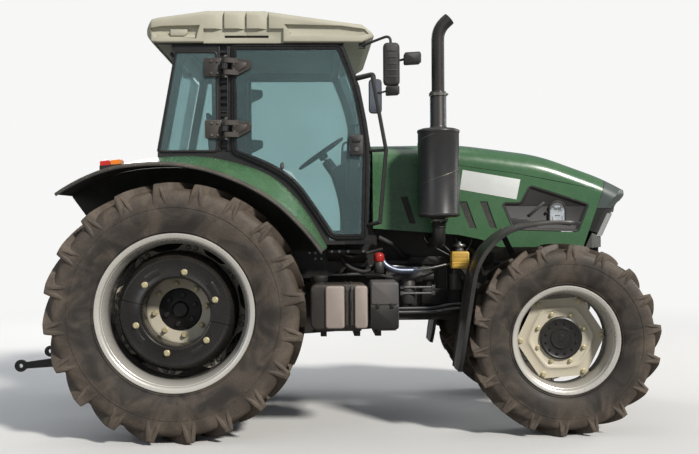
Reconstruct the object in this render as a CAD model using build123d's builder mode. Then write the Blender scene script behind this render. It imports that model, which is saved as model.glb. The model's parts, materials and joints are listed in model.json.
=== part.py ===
"""Four-wheel-drive cab tractor of about 120 hp, with a side exhaust and a rear three-point hitch.

Frame: +X forward, +Y to the tractor's left, +Z up, millimetres. The origin is on the ground, in the
middle of the overall length and width. Side profiles are given from the rear axle, whose X is
rear_axle_x. Right-hand pieces are made first, at -Y, and the left-hand ones are their mirror images.
"""
from build123d import *
from math import atan, cos, degrees, pi, radians, sin, sqrt, tan
import os

os.makedirs("parts", exist_ok=True)

# ---- driving dimensions, mm; X values named *_x are measured from the rear axle ----
rear_axle_x = -991.0
wheelbase = 2532.0
rear_tyre_radius = 838.0
front_tyre_radius = 628.0
rear_track = 1700.0
front_track = 1640.0
running_gap = 0.1        # radial clearance of a pin or shaft in its bore
seat_gap = 0.3           # clearance of a piece against what carries it
moving_gap = 6.0         # clearance between pieces that move past each other

# wheels: half widths are from the wheel's middle plane
lug_taper = 8.0
rear_tyre_half = 234.0
rear_lug_height = 40.0
rear_lugs = 20
rear_bead_radius = 482.0
rear_rim_half = 215.0
rear_flange_radius = 511.0
front_tyre_half = 189.0
front_lug_height = 34.0
front_lugs = 18
front_bead_radius = 331.0
front_rim_half = 165.0
front_flange_radius = 358.5
rim_wall = 9.0
axle_shaft_radius = 48.0

# cab: half widths across the tractor
cab_half = 775.0
pillar_depth = 60.0
door_thickness = 14.0
glass_thickness = 6.0
floor_top = 1290.0
floor_thickness = 28.0
deck_top = 1500.0
cab_rear_x = -95.0
arch_gap = 48.0          # between the rear tyre's inner side and the wheel arch's wall
fender_sheet = 8.0
fender_overhang = 225.0  # fender's outer edge, from the tyre's middle plane
hinge_x = 318.0
hinge_stand_off = 63.0   # door hinge pins, from the pillars' outer faces
hinge_pin_radius = 8.0
hinge_barrel_radius = 16.0
hinge_levels = (2440.0, 2031.0)

# bonnet
hood_rear_x = 1305.0
hood_half = 425.0
hood_wall = 10.0
hood_hinge_x = 1385.0
hood_hinge_z = 1900.0

# front axle and steering
kingpin_half = 680.0
kingpin_radius = 28.0
steer_arm = 180.0
tie_rod_radius = 16.0

# exhaust
muffler_x = 1742.0
muffler_half = 640.0
muffler_radius = 145.0
muffler_bottom = 1430.0
muffler_top = 2046.0
stack_radius = 44.0

# rear hitch
link_pivot_x = -180.0
link_pivot_z = 470.0
link_length = 970.0
rod_station = 520.0      # lift rod pin, from the lower link's pivot
rockshaft_x = -300.0
rockshaft_z = 1190.0
lift_arm_length = 345.0
hitch_pin_radius = 12.0

arch_half = rear_track / 2 - rear_tyre_half - arch_gap
fender_outer_half = rear_track / 2 + fender_overhang
hinge_half = cab_half + hinge_stand_off
rear_hub_z = rear_tyre_radius
front_hub_z = front_tyre_radius
rear_wheel_half = rear_track / 2
front_wheel_half = front_track / 2
floor_under = floor_top - floor_thickness - seat_gap


def side_plane(y):
    """Vertical plane at Y = y; local x is X from the rear axle, local y is Z, normal to the right (-Y)."""
    return Plane(origin=(rear_axle_x, y, 0), x_dir=(1, 0, 0), z_dir=(0, -1, 0))


def deck_plane(z):
    """Level plane at height z; local x is X from the rear axle, local y is Y."""
    return Plane(origin=(rear_axle_x, 0, z), x_dir=(1, 0, 0), z_dir=(0, 0, 1))


def station_plane(x):
    """Cross plane at x from the rear axle; local x is Y, local y is Z, normal forward."""
    return Plane(origin=(rear_axle_x + x, 0, 0), x_dir=(0, 1, 0), z_dir=(1, 0, 0))


def write(shape, name):
    """Labels a finished piece and writes its STEP file."""
    shape.label = name
    export_step(shape, f"parts/{name}.step")


def write_pair(right, name):
    """Writes a right-hand piece and its mirror image on the left as two nodes."""
    write(right, f"{name}_right")
    write(mirror(right, about=Plane.XZ), f"{name}_left")


def box_between(x0, x1, y0, y1, z0, z1, mode=Mode.ADD):
    """A plain block given by its corners, x from the rear axle."""
    with Locations((rear_axle_x + (x0 + x1) / 2, (y0 + y1) / 2, (z0 + z1) / 2)):
        Box(abs(x1 - x0), abs(y1 - y0), abs(z1 - z0), mode=mode)


def bar_across(x, z, radius, y0, y1, mode=Mode.ADD):
    """A round bar along Y from y0 to y1, at x from the rear axle and height z."""
    with BuildSketch(side_plane(max(y0, y1)), mode=Mode.PRIVATE) as section:
        with Locations((x, z)):
            Circle(radius)
    extrude(section.sketch, amount=abs(y1 - y0), mode=mode)


def post(x, y, radius, z0, z1, mode=Mode.ADD):
    """A round bar along Z from z0 to z1."""
    with BuildSketch(deck_plane(z0), mode=Mode.PRIVATE) as section:
        with Locations((x, y)):
            Circle(radius)
    extrude(section.sketch, amount=z1 - z0, mode=mode)


def tube(points, radius):
    """A bent round tube through points given as (x from the rear axle, y, z)."""
    with BuildPart() as bent:
        with BuildLine() as route:
            Polyline(*[(rear_axle_x + x, y, z) for x, y, z in points])
        with BuildSketch(Plane(origin=route.line @ 0, z_dir=route.line % 0)):
            Circle(radius)
        sweep(path=route.line, transition=Transition.RIGHT)
    return bent.part


# ============================ wheels ============================
def lug(radius, height, half_width, depth, lead, nose, foot, crown):
    """One tread bar, made on the wheel's +X side: a tapered block on a plane that leans with the tread's
    crown. Its nose is on the middle plane, lead behind its foot, which hangs over the shoulder."""
    radial = Vector(1, 0, 0)
    axial = Vector(0, -1, 0)
    out = radial * cos(radians(crown)) + axial * sin(radians(crown))
    reach = lead / 2 + nose - (height + depth) * tan(radians(lug_taper))
    tip = sqrt(radius ** 2 - reach ** 2)
    along = axial * cos(radians(crown)) - radial * sin(radians(crown))
    with BuildPart() as bar:
        with BuildSketch(Plane(origin=radial * (tip - height - depth), x_dir=along, z_dir=out)):
            with BuildLine():
                Polyline((-12, lead / 2 - nose), (-12, lead / 2 + nose), (half_width, -lead / 2 + foot),
                         (half_width, -lead / 2 - foot), close=True)
            make_face()
        extrude(amount=height + depth, taper=lug_taper)
    return bar.part


def tyre(radius, half, lug_height, lugs, bead, flange, rim_half):
    """Cross-ply tractor tyre: a carcass of flat facets, one to each pair of bars, with chevron bars."""
    tread = radius - lug_height
    shoulder = 0.07 * radius
    bar = lug(radius, lug_height, half - 2, 30, half * 0.85, 24, 30, 4)
    pitch = 360 / lugs
    with BuildPart() as body:
        for face in (1, -1):
            r = tread
            y = 0.0
            for step, drop in ((0.8 * half, 0), (0.1 * half, shoulder), (0.1 * half, 2 * shoulder)):
                with BuildSketch(Plane(origin=(0, -face * y, 0), x_dir=(1, 0, 0), z_dir=(0, -face, 0))):
                    RegularPolygon(r, lugs)
                extrude(amount=step, taper=degrees(atan(drop * cos(pi / lugs) / step)))
                r -= drop
                y += step
        with Locations(*[Location((0, 0, 0), (0, k * pitch, 0)) for k in range(lugs)]):
            add(bar)
        with Locations(*[Location((0, 0, 0), (0, (k + 0.5) * pitch, 0)) for k in range(lugs)]):
            add(mirror(bar, about=Plane.XZ))
        with BuildSketch(Plane.XZ.offset(-half - 40)):
            RegularPolygon(bead + 1, lugs, major_radius=False)
        extrude(amount=2 * half + 80, mode=Mode.SUBTRACT)
        for face in (1, -1):
            with BuildSketch(Plane.XZ.offset(face * (half + 40))):
                RegularPolygon(flange + 6, lugs, major_radius=False)
            extrude(amount=-face * (half + 40 - rim_half + rim_wall), mode=Mode.SUBTRACT)
    return body.part


def turned(profile):
    """A solid turned about the wheel's axis from a table of (radius, distance inboard)."""
    with BuildPart() as solid:
        with BuildSketch(Plane.XY):
            with BuildLine():
                Polyline(*profile, close=True)
            make_face()
        revolve(axis=Axis.Y)
    return solid.part


def placed(shape, x, y, z):
    """Moves a wheel piece from the origin to its axle."""
    return Location((rear_axle_x + x, y, z)) * shape


def barrel_profile(bead, flange, rim_half, well):
    """Closed outline of the rolled rim as (radius, distance inboard)."""
    half_outer = [(flange, rim_half), (flange, rim_half - rim_wall), (bead, rim_half - rim_wall),
                  (bead, rim_half - 62), (well, rim_half - 96)]
    half_inner = [(bead - rim_wall, rim_half), (bead - rim_wall, rim_half - 66),
                  (well - rim_wall, rim_half - 100)]
    outer = half_outer + [(r, -y) for r, y in reversed(half_outer)]
    inner = half_inner + [(r, -y) for r, y in reversed(half_inner)]
    return outer + inner[::-1]


rear_well = rear_bead_radius - 30
front_well = front_bead_radius - 24
rear_disc_face = 104.0      # disc's outer face, inboard of the wheel's middle plane
front_disc_face = -10.0     # disc's outer face, outboard of the middle plane
disc_thickness = 12.0
trumpet_end = rear_wheel_half - rear_disc_face - disc_thickness - 20 - moving_gap

# ---- rear wheels ----
rear_tyre = tyre(rear_tyre_radius, rear_tyre_half, rear_lug_height, rear_lugs,
                 rear_bead_radius, rear_flange_radius, rear_rim_half)
write_pair(placed(rear_tyre, 0, -rear_wheel_half, rear_hub_z), "tyre_rear")

face = rear_disc_face
with BuildPart() as rear_rim:
    add(turned(barrel_profile(rear_bead_radius, rear_flange_radius, rear_rim_half, rear_well)))
    with BuildSketch(Plane.XZ.offset(-face)):
        Circle(rear_well - rim_wall / 2)
        with PolarLocations(rear_well + 12, 8, start_angle=12):
            Rectangle(104, 150, mode=Mode.SUBTRACT)
        Circle(100, mode=Mode.SUBTRACT)
    extrude(amount=-disc_thickness)
    add(turned([(0, face + 250), (axle_shaft_radius, face + 250), (axle_shaft_radius, face + 32),
                (190, face + 32), (190, face + 12), (149, face + 12), (149, face + 8),
                (141, face + 2), (60, face - 2), (52, face - 20), (0, face - 24)]))
    with Locations(*[Location((0, 0, 0), (0, -34.5 - 45 * k, 0)) for k in range(8)]):
        with Locations((rear_well - 34, face - 20, 0)):
            Box(42, 40, 70)
write_pair(placed(rear_rim.part, 0, -rear_wheel_half, rear_hub_z), "rim_rear")

weight_outer = 396.0
weight_inner = 222.0
weight_front = -150.0       # weight's outer face, inboard of the middle plane
face = rear_disc_face - seat_gap
with BuildPart() as wheel_weight:
    add(turned([(weight_inner, face), (weight_outer - 66, face), (weight_outer, face - 66),
                (weight_outer, weight_front + 140), (weight_outer - 39, weight_front + 20),
                (weight_outer - 51, weight_front), (weight_inner + 16, weight_front),
                (weight_inner, weight_front + 16)]))
    with Locations(Location((0, weight_front, 0), (0, 14, 0))):
        Box(2 * weight_outer + 10, 60, 5, mode=Mode.SUBTRACT)
write_pair(placed(wheel_weight.part, 0, -rear_wheel_half, rear_hub_z), "wheel_weight")

# ---- front wheels ----
front_tyre = tyre(front_tyre_radius, front_tyre_half, front_lug_height, front_lugs,
                  front_bead_radius, front_flange_radius, front_rim_half)
write_pair(placed(front_tyre, wheelbase, -front_wheel_half, front_hub_z), "tyre_front")

spindle_radius = 55.0
spindle_end = 6.0           # spindle's end, outboard of the front wheel's middle plane
face = -front_disc_face
with BuildPart() as front_rim:
    add(turned(barrel_profile(front_bead_radius, front_flange_radius, front_rim_half, front_well)))
    with BuildSketch(Plane.XZ.offset(-face - disc_thickness)):
        Circle(front_well - rim_wall / 2)
        with PolarLocations(front_well + 10, 6, start_angle=30):
            Rectangle(96, 170, mode=Mode.SUBTRACT)
        Circle(200, mode=Mode.SUBTRACT)
    extrude(amount=disc_thickness)
    bore = spindle_radius + running_gap
    add(turned([(215, face), (215, face + disc_thickness), (190, face + 30), (bore, face + 30),
                (bore, -spindle_end - 2), (0, -spindle_end - 2), (0, face - 34), (60, face - 32),
                (70, face - 26), (130, face - 26), (143, face - 16), (143, face + 6), (150, face + 8),
                (150, face + 18), (176, face + 18), (196, face)]))
write_pair(placed(front_rim.part, wheelbase, -front_wheel_half, front_hub_z), "rim_front")

# ============================ running gear ============================
with BuildPart() as transmission:
    with BuildSketch(side_plane(205)):
        with BuildLine():
            Polyline((1330, 640), (1330, 1130), (1100, 1150), (760, 1090), (330, 1120), (330, 560), (700, 600),
                     close=True)
        make_face()
    extrude(amount=410)
    with BuildSketch(side_plane(300)):
        with BuildLine():
            Polyline((332, 560), (332, 1170), (-60, 1240), (-345, 1240), (-345, 900), (-330, 560), (-150, 520),
                     (200, 520), close=True)
        make_face()
    extrude(amount=600)
    for side in (1, -1):
        bar_across(0, rear_hub_z, 185, side * 299, side * 390)
        bar_across(0, rear_hub_z, 125, side * 389, side * (trumpet_end - 50))
        bar_across(0, rear_hub_z, 155, side * (trumpet_end - 51), side * trumpet_end)
        bar_across(0, rear_hub_z, axle_shaft_radius + running_gap, side * (trumpet_end - 225),
                   side * (trumpet_end + 1), mode=Mode.SUBTRACT)
        box_between(-60, 60, side * 430, side * 510, rear_hub_z + 60, deck_top - floor_thickness - seat_gap)
        box_between(1120, 1220, side * 200, side * 460, 1040, 1080)
        box_between(1130, 1210, side * 380, side * 460, 1079, floor_under)
        bar_across(link_pivot_x, link_pivot_z, 45, side * 290, side * 372)
        bar_across(link_pivot_x, link_pivot_z, hitch_pin_radius, side * 371, side * 460)
    box_between(link_pivot_x - 45, link_pivot_x + 45, -330, 330, link_pivot_z, 565)
    box_between(-420, -340, -48, -20, 960, 1080)
    box_between(-420, -340, 20, 48, 960, 1080)
    bar_across(-388, 1020, 12.8, -60, 60, mode=Mode.SUBTRACT)
    bar_across(rockshaft_x, rockshaft_z, 40 + running_gap, -320, 320, mode=Mode.SUBTRACT)
    with BuildSketch(station_plane(-325)):
        with Locations((0, 700)):
            Circle(60)
    extrude(amount=-35)
    with BuildSketch(station_plane(-359)):
        with Locations((0, 700)):
            Circle(17.5)
    extrude(amount=-70)
    for x0 in (930, 1150, 1288):
        box_between(x0, x0 + 40, -200, -880, 662, 695)
    for x0 in (1000, 1190):
        box_between(x0, x0 + 40, 200, 840, 662, 695)
write(transmission.part, "transmission")

with BuildPart() as drawbar:
    with BuildSketch(deck_plane(395)):
        with Locations((-290, 0)):
            Rectangle(640, 90)
        with Locations((-610, 0)):
            Circle(45)
        with Locations((-610, 0)):
            Circle(16.5, mode=Mode.SUBTRACT)
    extrude(amount=38)
    box_between(link_pivot_x - 40, link_pivot_x + 40, -90, 90, 432, link_pivot_z - seat_gap)
    box_between(-10, 30, -60, 60, 432, 520 - seat_gap)
    with BuildSketch(deck_plane(394)):
        with Locations((-610, 0)):
            Circle(16.5)
    extrude(amount=40, mode=Mode.SUBTRACT)
write(drawbar.part, "drawbar")

with BuildPart() as engine:
    with BuildSketch(side_plane(225)):
        with BuildLine():
            Polyline((1330 + seat_gap, 700), (1330 + seat_gap, 1560), (2120, 1560), (2120, 1180), (2190, 1180),
                     (2190, 780), (2000, 700), close=True)
        make_face()
    extrude(amount=450)
    for side in (1, -1):
        box_between(hood_hinge_x - 20, hood_hinge_x + 20, side * 140, side * 160, 1559, hood_hinge_z + 18)
        bar_across(hood_hinge_x, hood_hinge_z, hitch_pin_radius, side * 159, side * 196)
write(engine.part, "engine")

axle_z = front_hub_z
support_top = 1104.0
with BuildPart() as front_support:
    with BuildSketch(side_plane(175)):
        with BuildLine():
            Polyline((2190 + seat_gap, 800), (2190 + seat_gap, support_top), (3040, support_top),
                     (3080, support_top - 44), (3080, 900), (2790, 780), (2790, 560), (2660, 560),
                     (2660, 746), (2404, 746), (2404, 560), (2300, 560), (2300, 800), close=True)
        make_face()
    extrude(amount=350)
    for z in (925, 1005):
        with BuildSketch(deck_plane(z)):
            with Locations((3095, 0)):
                Rectangle(60, 110)
            with Locations((3110, 0)):
                Circle(16, mode=Mode.SUBTRACT)
        extrude(amount=30)
    post(3110, 0, 15.5, 900, 1060)
    post(3110, 0, 26, 1035, 1060)
    for x0, x1 in ((2300, 2404), (2660, 2790)):
        with BuildSketch(station_plane(x0 - 1)):
            with Locations((0, axle_z)):
                Circle(45 + running_gap)
        extrude(amount=x1 - x0 + 2, mode=Mode.SUBTRACT)
write(front_support.part, "front_support")

# ---- front axle, knuckles and tie rod ----
boss_half = 70.0
knuckle_plate = 30.0
with BuildPart() as front_axle:
    with BuildSketch(Plane(origin=(rear_axle_x + wheelbase, 0, axle_z), x_dir=(1, 0, 0), z_dir=(0, -1, 0))):
        Circle(110)
    extrude(amount=130, both=True)
    for side in (1, -1):
        with BuildSketch(Plane(origin=(rear_axle_x + wheelbase, side * 129, axle_z), x_dir=(1, 0, 0),
                               z_dir=(0, side, 0))):
            Rectangle(150, 160)
        with BuildSketch(Plane(origin=(rear_axle_x + wheelbase, side * (kingpin_half - 30), axle_z),
                               x_dir=(1, 0, 0), z_dir=(0, side, 0))):
            Rectangle(110, 2 * boss_half - 20)
        loft(ruled=True)
        post(wheelbase, side * kingpin_half, 60, axle_z - boss_half, axle_z + boss_half)
        post(wheelbase, side * kingpin_half, kingpin_radius + running_gap, axle_z - boss_half - 1,
             axle_z + boss_half + 1, mode=Mode.SUBTRACT)
    with BuildSketch(station_plane(2302)):
        with Locations((0, axle_z)):
            Circle(45)
    extrude(amount=486)
write(front_axle.part, "front_axle")

arm_x = wheelbase - steer_arm
plate_low = axle_z - boss_half - moving_gap - knuckle_plate
with BuildPart() as knuckle:
    post(wheelbase, -kingpin_half, kingpin_radius, plate_low, axle_z + boss_half + moving_gap + knuckle_plate)
    for z0 in (plate_low, axle_z + boss_half + moving_gap):
        with BuildSketch(deck_plane(z0)):
            with Locations((wheelbase, -kingpin_half)):
                Circle(58)
            with Locations((wheelbase, -kingpin_half - 45)):
                Rectangle(116, 90)
        extrude(amount=knuckle_plate)
    box_between(wheelbase - 58, wheelbase + 58, -kingpin_half - 66, -kingpin_half - 90, plate_low,
                axle_z + boss_half + moving_gap + knuckle_plate)
    with BuildSketch(deck_plane(plate_low)):
        with Locations((wheelbase - steer_arm / 2, -kingpin_half)):
            Rectangle(steer_arm, 56)
        with Locations((arm_x, -kingpin_half)):
            Circle(28)
    extrude(amount=knuckle_plate - 4)
    bar_across(wheelbase, axle_z, 100, -kingpin_half - 80, -kingpin_half - 94)
    bar_across(wheelbase, axle_z, spindle_radius, -kingpin_half - 80, -front_wheel_half - spindle_end)
write_pair(knuckle.part, "knuckle")

with BuildPart() as tie_rod:
    rod_z = plate_low - 0.5 - 22
    bar_across(arm_x, rod_z, tie_rod_radius, -kingpin_half, kingpin_half)
    for side in (1, -1):
        post(arm_x, side * kingpin_half, 27, rod_z - 22, rod_z + 22)
write(tie_rod.part, "tie_rod")

fender_top = axle_z + boss_half + moving_gap + knuckle_plate + seat_gap
with BuildPart() as fender_front:
    with BuildSketch(side_plane(-front_wheel_half + front_tyre_half - 9).shift_origin(
            (rear_axle_x + wheelbase, -front_wheel_half + front_tyre_half - 9, axle_z))):
        with BuildLine():
            ThreePointArc((108, 768), (-132, 776), (-362, 728))
            ThreePointArc((-362, 728), (-522, 596), (-608, 410))
            Line((-608, 410), (-706, -198))
        trace(line_width=8)
    extrude(amount=350)
    with BuildSketch(side_plane(-front_wheel_half + front_tyre_half + 29).shift_origin(
            (rear_axle_x + wheelbase, -front_wheel_half + front_tyre_half + 29, axle_z))):
        with BuildLine():
            Polyline((-62, 142), (-62, 768), (-104, 768), (-104, 142), close=True)
        make_face()
        with BuildLine():
            Polyline((-62, 112), (-62, 160), (-600, 398), (-616, 362), close=True)
        make_face()
        with Locations((-90, 112)):
            Rectangle(100, 68)
    extrude(amount=14)
    box_between(wheelbase - 104, wheelbase - 62, -602, -645, axle_z + 760, axle_z + 774)
    box_between(wheelbase - 615, wheelbase - 596, -602, -645, axle_z + 362, axle_z + 398)
    box_between(wheelbase - 140, wheelbase - 50, -602, -kingpin_half - 40, fender_top, fender_top + 24)
    box_between(wheelbase - 60, wheelbase + 50, -kingpin_half + 50, -kingpin_half - 60, fender_top, fender_top + 24)
write_pair(fender_front.part, "fender_front")

# ============================ rear hitch ============================
station_x = link_pivot_x - rod_station
arm_tip_x = rockshaft_x - lift_arm_length
link_y = 400.0
with BuildPart() as rockshaft:
    bar_across(rockshaft_x, rockshaft_z, 40, -480, 480)
    for side in (1, -1):
        with BuildSketch(side_plane(side * 440 + 16)):
            with BuildLine():
                Polyline((rockshaft_x + 40, rockshaft_z + 55), (rockshaft_x + 40, rockshaft_z - 55),
                         (arm_tip_x, rockshaft_z - 30), (arm_tip_x, rockshaft_z + 30), close=True)
            make_face()
            with Locations((arm_tip_x, rockshaft_z)):
                Circle(30)
        extrude(amount=32)
        bar_across(arm_tip_x, rockshaft_z, hitch_pin_radius, side * 395, side * 440)
write(rockshaft.part, "rockshaft")

link_drop = 42.0
with BuildPart() as lower_link:
    with BuildSketch(side_plane(-link_y + 13)):
        with BuildLine():
            Polyline((link_pivot_x, link_pivot_z + 30), (station_x, link_pivot_z + 38),
                     (link_pivot_x - link_length, link_pivot_z - link_drop + 22),
                     (link_pivot_x - link_length, link_pivot_z - link_drop - 22),
                     (station_x, link_pivot_z - 38), (link_pivot_x, link_pivot_z - 30), close=True)
        make_face()
        with Locations((link_pivot_x, link_pivot_z)):
            Circle(36)
            Circle(hitch_pin_radius + running_gap, mode=Mode.SUBTRACT)
        with Locations((link_pivot_x - link_length, link_pivot_z - link_drop)):
            Circle(42)
            Circle(14.5, mode=Mode.SUBTRACT)
    extrude(amount=26)
    bar_across(link_pivot_x, link_pivot_z, hitch_pin_radius + running_gap, -350, -450, mode=Mode.SUBTRACT)
    bar_across(link_pivot_x - link_length, link_pivot_z - link_drop, 14.5, -350, -450, mode=Mode.SUBTRACT)
write_pair(lower_link.part, "lower_link")

with BuildPart() as lift_rod:
    with BuildSketch(side_plane(-400 + 8)):
        with BuildLine():
            Polyline((arm_tip_x - 16, rockshaft_z), (station_x - 16, 520 + 30), (station_x + 16, 520 + 30),
                     (arm_tip_x + 16, rockshaft_z), close=True)
        make_face()
        with Locations((arm_tip_x, rockshaft_z)):
            Circle(27)
            Circle(hitch_pin_radius + running_gap, mode=Mode.SUBTRACT)
    extrude(amount=18)
    bar_across(arm_tip_x, rockshaft_z, hitch_pin_radius + running_gap, -380, -430, mode=Mode.SUBTRACT)
    box_between(station_x - 30, station_x + 30, -392, -440, 530, 552)
    box_between(station_x - 30, station_x + 30, -422, -440, link_pivot_z - 20, 552)
write_pair(lift_rod.part, "lift_rod")

# ============================ bonnet and front sheet metal ============================
def hood_form(inset):
    """The bonnet's outer form over its full depth, pulled in by a wall thickness."""
    stations = (  # x, half width, height of the shoulder, crown at the centre, shoulder radius
        (hood_rear_x - inset, hood_half, 1930, 30, 60), (1940, hood_half, 1938, 30, 60),
        (2514, hood_half - 6, 1858, 34, 70), (2990, hood_half - 30, 1686, 40, 80),
        (3060, hood_half - 34, 1650, 34, 80), (3220, hood_half - 60, 1560, 20, 80))
    with BuildPart() as form:
        for x, outer, shoulder, crown, r in stations:
            half = outer - inset
            top = shoulder - inset
            with BuildSketch(station_plane(x)):
                with BuildLine():
                    Polyline((half - r, top), (half, top - r), (half, 1100), (-half, 1100), (-half, top - r),
                             (-half + r, top))
                    ThreePointArc((-half + r, top), (0, top + crown), (half - r, top))
                make_face()
        loft(ruled=True)
    return form.part


with BuildPart() as hood:
    add(hood_form(0))
    add(hood_form(hood_wall), mode=Mode.SUBTRACT)
    with BuildSketch(side_plane(600)):
        with BuildLine():
            Polyline((1200, 1362), (1326, 1362), (1900, 1316), (2100, 1262), (2198, 1226), (2796, 1222),
                     (2956, 1668), (2990, 1762), (3300, 1800), (3300, 1000), (1200, 1000), close=True)
        make_face()
    extrude(amount=1200, mode=Mode.SUBTRACT)
    for side in (1, -1):
        with BuildSketch(side_plane(side * 175 + 7)):
            with BuildLine():
                Polyline((hood_hinge_x - 20, hood_hinge_z - 20), (hood_hinge_x + 20, hood_hinge_z - 20),
                         (hood_hinge_x + 30, 1945), (hood_hinge_x - 30, 1945), close=True)
            make_face()
        extrude(amount=14)
        bar_across(hood_hinge_x, hood_hinge_z, hitch_pin_radius + running_gap, side * 150, side * 200,
                   mode=Mode.SUBTRACT)
write(hood.part, "hood")

def nose_form(stations, inset):
    """The nose's rounded plan carried through (height, x of its middle), every face flat."""
    corner = hood_half - 30 - inset
    plan = ((140 - inset, corner), (75, 320), (32, 230), (8, 130), (0, 0))
    half = [(-back - 1.4 * inset, y) for back, y in plan]
    with BuildPart() as form:
        for z, x in stations:
            with BuildSketch(deck_plane(z)):
                with BuildLine():
                    Polyline((2600, corner), *[(x + dx, y) for dx, y in half],
                             *[(x + dx, -y) for dx, y in half[-2::-1]], (2600, -corner), close=True)
                make_face()
        loft(ruled=True)
    return form.part


def nose_block(inset):
    """The nose's outer form under the bonnet's line, pulled in by a wall thickness."""
    with BuildPart() as block:
        add(nose_form(((1260, 2984), (1302, 3004), (1505, 3100), (1591, 3174), (1760, 3140)), inset))
        with BuildSketch(side_plane(hood_half)):
            with BuildLine():
                Polyline((2837 + inset / 3, 1334 + inset), (2956.6, 1668), (2990.6, 1762), (3004, 1800),
                         (3300, 1800), (3300, 1200), (3006, 1290 + inset), close=True)
            make_face()
        extrude(amount=2 * hood_half, mode=Mode.INTERSECT)
        add(hood_form(inset), mode=Mode.INTERSECT)
    return block.part


lamp_places = ((118, 298),)         # headlamps, each side: from y, to y
lamp_low = 1462.0
lamp_high = 1548.0
nose_wall = 14.0
with BuildPart() as grille:
    add(nose_block(0))
    add(nose_block(nose_wall), mode=Mode.SUBTRACT)
    for side in (1, -1):
        for y0, y1 in lamp_places:
            box_between(2980, 3300, side * y0, side * y1, lamp_low, lamp_high, mode=Mode.SUBTRACT)
    for z in (1318, 1350, 1382, 1414):
        box_between(2940, 3300, -245, 245, z - 8, z + 8, mode=Mode.SUBTRACT)
write(grille.part, "grille")

with BuildPart() as headlamp:
    add(nose_block(3))
    add(nose_block(nose_wall), mode=Mode.SUBTRACT)
    for y0, y1 in lamp_places:
        box_between(2980, 3300, -y0 - seat_gap, -y1 + seat_gap, lamp_low + seat_gap, lamp_high - seat_gap,
                    mode=Mode.INTERSECT)
write_pair(headlamp.part, "headlamp")

with BuildPart() as front_cowl:
    add(nose_form(((1214, 3004), (1330, 3004)), 4))
    with BuildSketch(side_plane(hood_half)):
        with BuildLine():
            Polyline((2812, 1216), (2862, 1321), (3030, 1277), (3030, 1216), close=True)
        make_face()
    extrude(amount=2 * hood_half, mode=Mode.INTERSECT)
    box_between(2860, 3000, -165, 165, support_top + seat_gap, 1217)
write(front_cowl.part, "front_cowl")

# ---- exhaust and filter ----
bend_radius = 150.0
with BuildPart() as exhaust:
    r = muffler_radius
    with BuildSketch(side_plane(-muffler_half)):
        with BuildLine():
            Polyline((muffler_x, muffler_bottom), (muffler_x + r - 40, muffler_bottom),
                     (muffler_x + r, muffler_bottom + 34), (muffler_x + r, muffler_top - 34),
                     (muffler_x + r - 40, muffler_top), (muffler_x + 56, muffler_top),
                     (muffler_x + 56, 2296), (muffler_x, 2296), close=True)
        make_face()
    revolve(axis=Axis((rear_axle_x + muffler_x, -muffler_half, 0), (0, 0, 1)))
    with BuildLine(side_plane(-muffler_half)) as stack:
        Line((muffler_x, 2280), (muffler_x, 2650))
        CenterArc((muffler_x + bend_radius, 2650), bend_radius, 180, -48)
        Line(stack.line @ 1, stack.line @ 1 + (stack.line % 1) * 40)
    with BuildSketch(Plane(origin=(rear_axle_x + muffler_x, -muffler_half, 2280), z_dir=(0, 0, 1))):
        Circle(stack_radius)
    sweep(path=stack.line)
    add(tube([(muffler_x, -muffler_half, muffler_bottom + 8), (muffler_x, -muffler_half, 1268),
              (muffler_x, -225 - seat_gap, 1268)], 45))
write(exhaust.part, "exhaust")

with BuildPart() as fuel_filter:
    box_between(1858, 1985, -300, -418, 1075, 1198)
    post(1921, -359, 44, 1197, 1274)
    box_between(1892, 1950, -225 - seat_gap, -301, 1110, 1150)
write(fuel_filter.part, "filter_unit")

# ---- tank, battery box and steps ----
with BuildPart() as fuel_tank:
    with BuildSketch(side_plane(-690)):
        with Locations((1051, 860)):
            RectangleRounded(376, 296, 45)
    extrude(amount=300)
    box_between(900, 1200, -700, -880, 695 + seat_gap, 722)
write(fuel_tank.part, "fuel_tank")

with BuildPart() as battery_box:
    box_between(1254, 1439, -690, -990, 712, 1022)
    fillet(battery_box.edges().filter_by(Axis.Y), 20)
    box_between(1300, 1430, -700, -880, 695 + seat_gap, 715)
write(battery_box.part, "battery_box")

with BuildPart() as steps:
    for x in (985, 1245):
        box_between(x - 8, x + 8, 820, 1010, 546, floor_under)
    for z in (560, 790, 1020):
        box_between(980, 1250, 830, 1010, z - 14, z + 14)
    box_between(993, 1237, 700, 840, 695 + seat_gap, 712)
    box_between(977, 1253, 700, 840, floor_under - 12, floor_under)
write(steps.part, "step_left")

# ============================ cab ============================
def fender_line():
    """The rear fender's crest from back to front, as the middle line of its sheet."""
    ThreePointArc((-750, 1608), (-105, 1818), (457, 1688))
    ThreePointArc((457, 1688), (735, 1478), (949, 1228))


def pane(outline, y, thickness):
    """A flat pane or panel: an outline in the side view, its outer face at Y = -y."""
    with BuildPart() as sheet:
        with BuildSketch(side_plane(-y + thickness)):
            with BuildLine():
                Polyline(*outline, close=True)
            make_face()
        extrude(amount=thickness)
    return sheet.part


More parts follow.
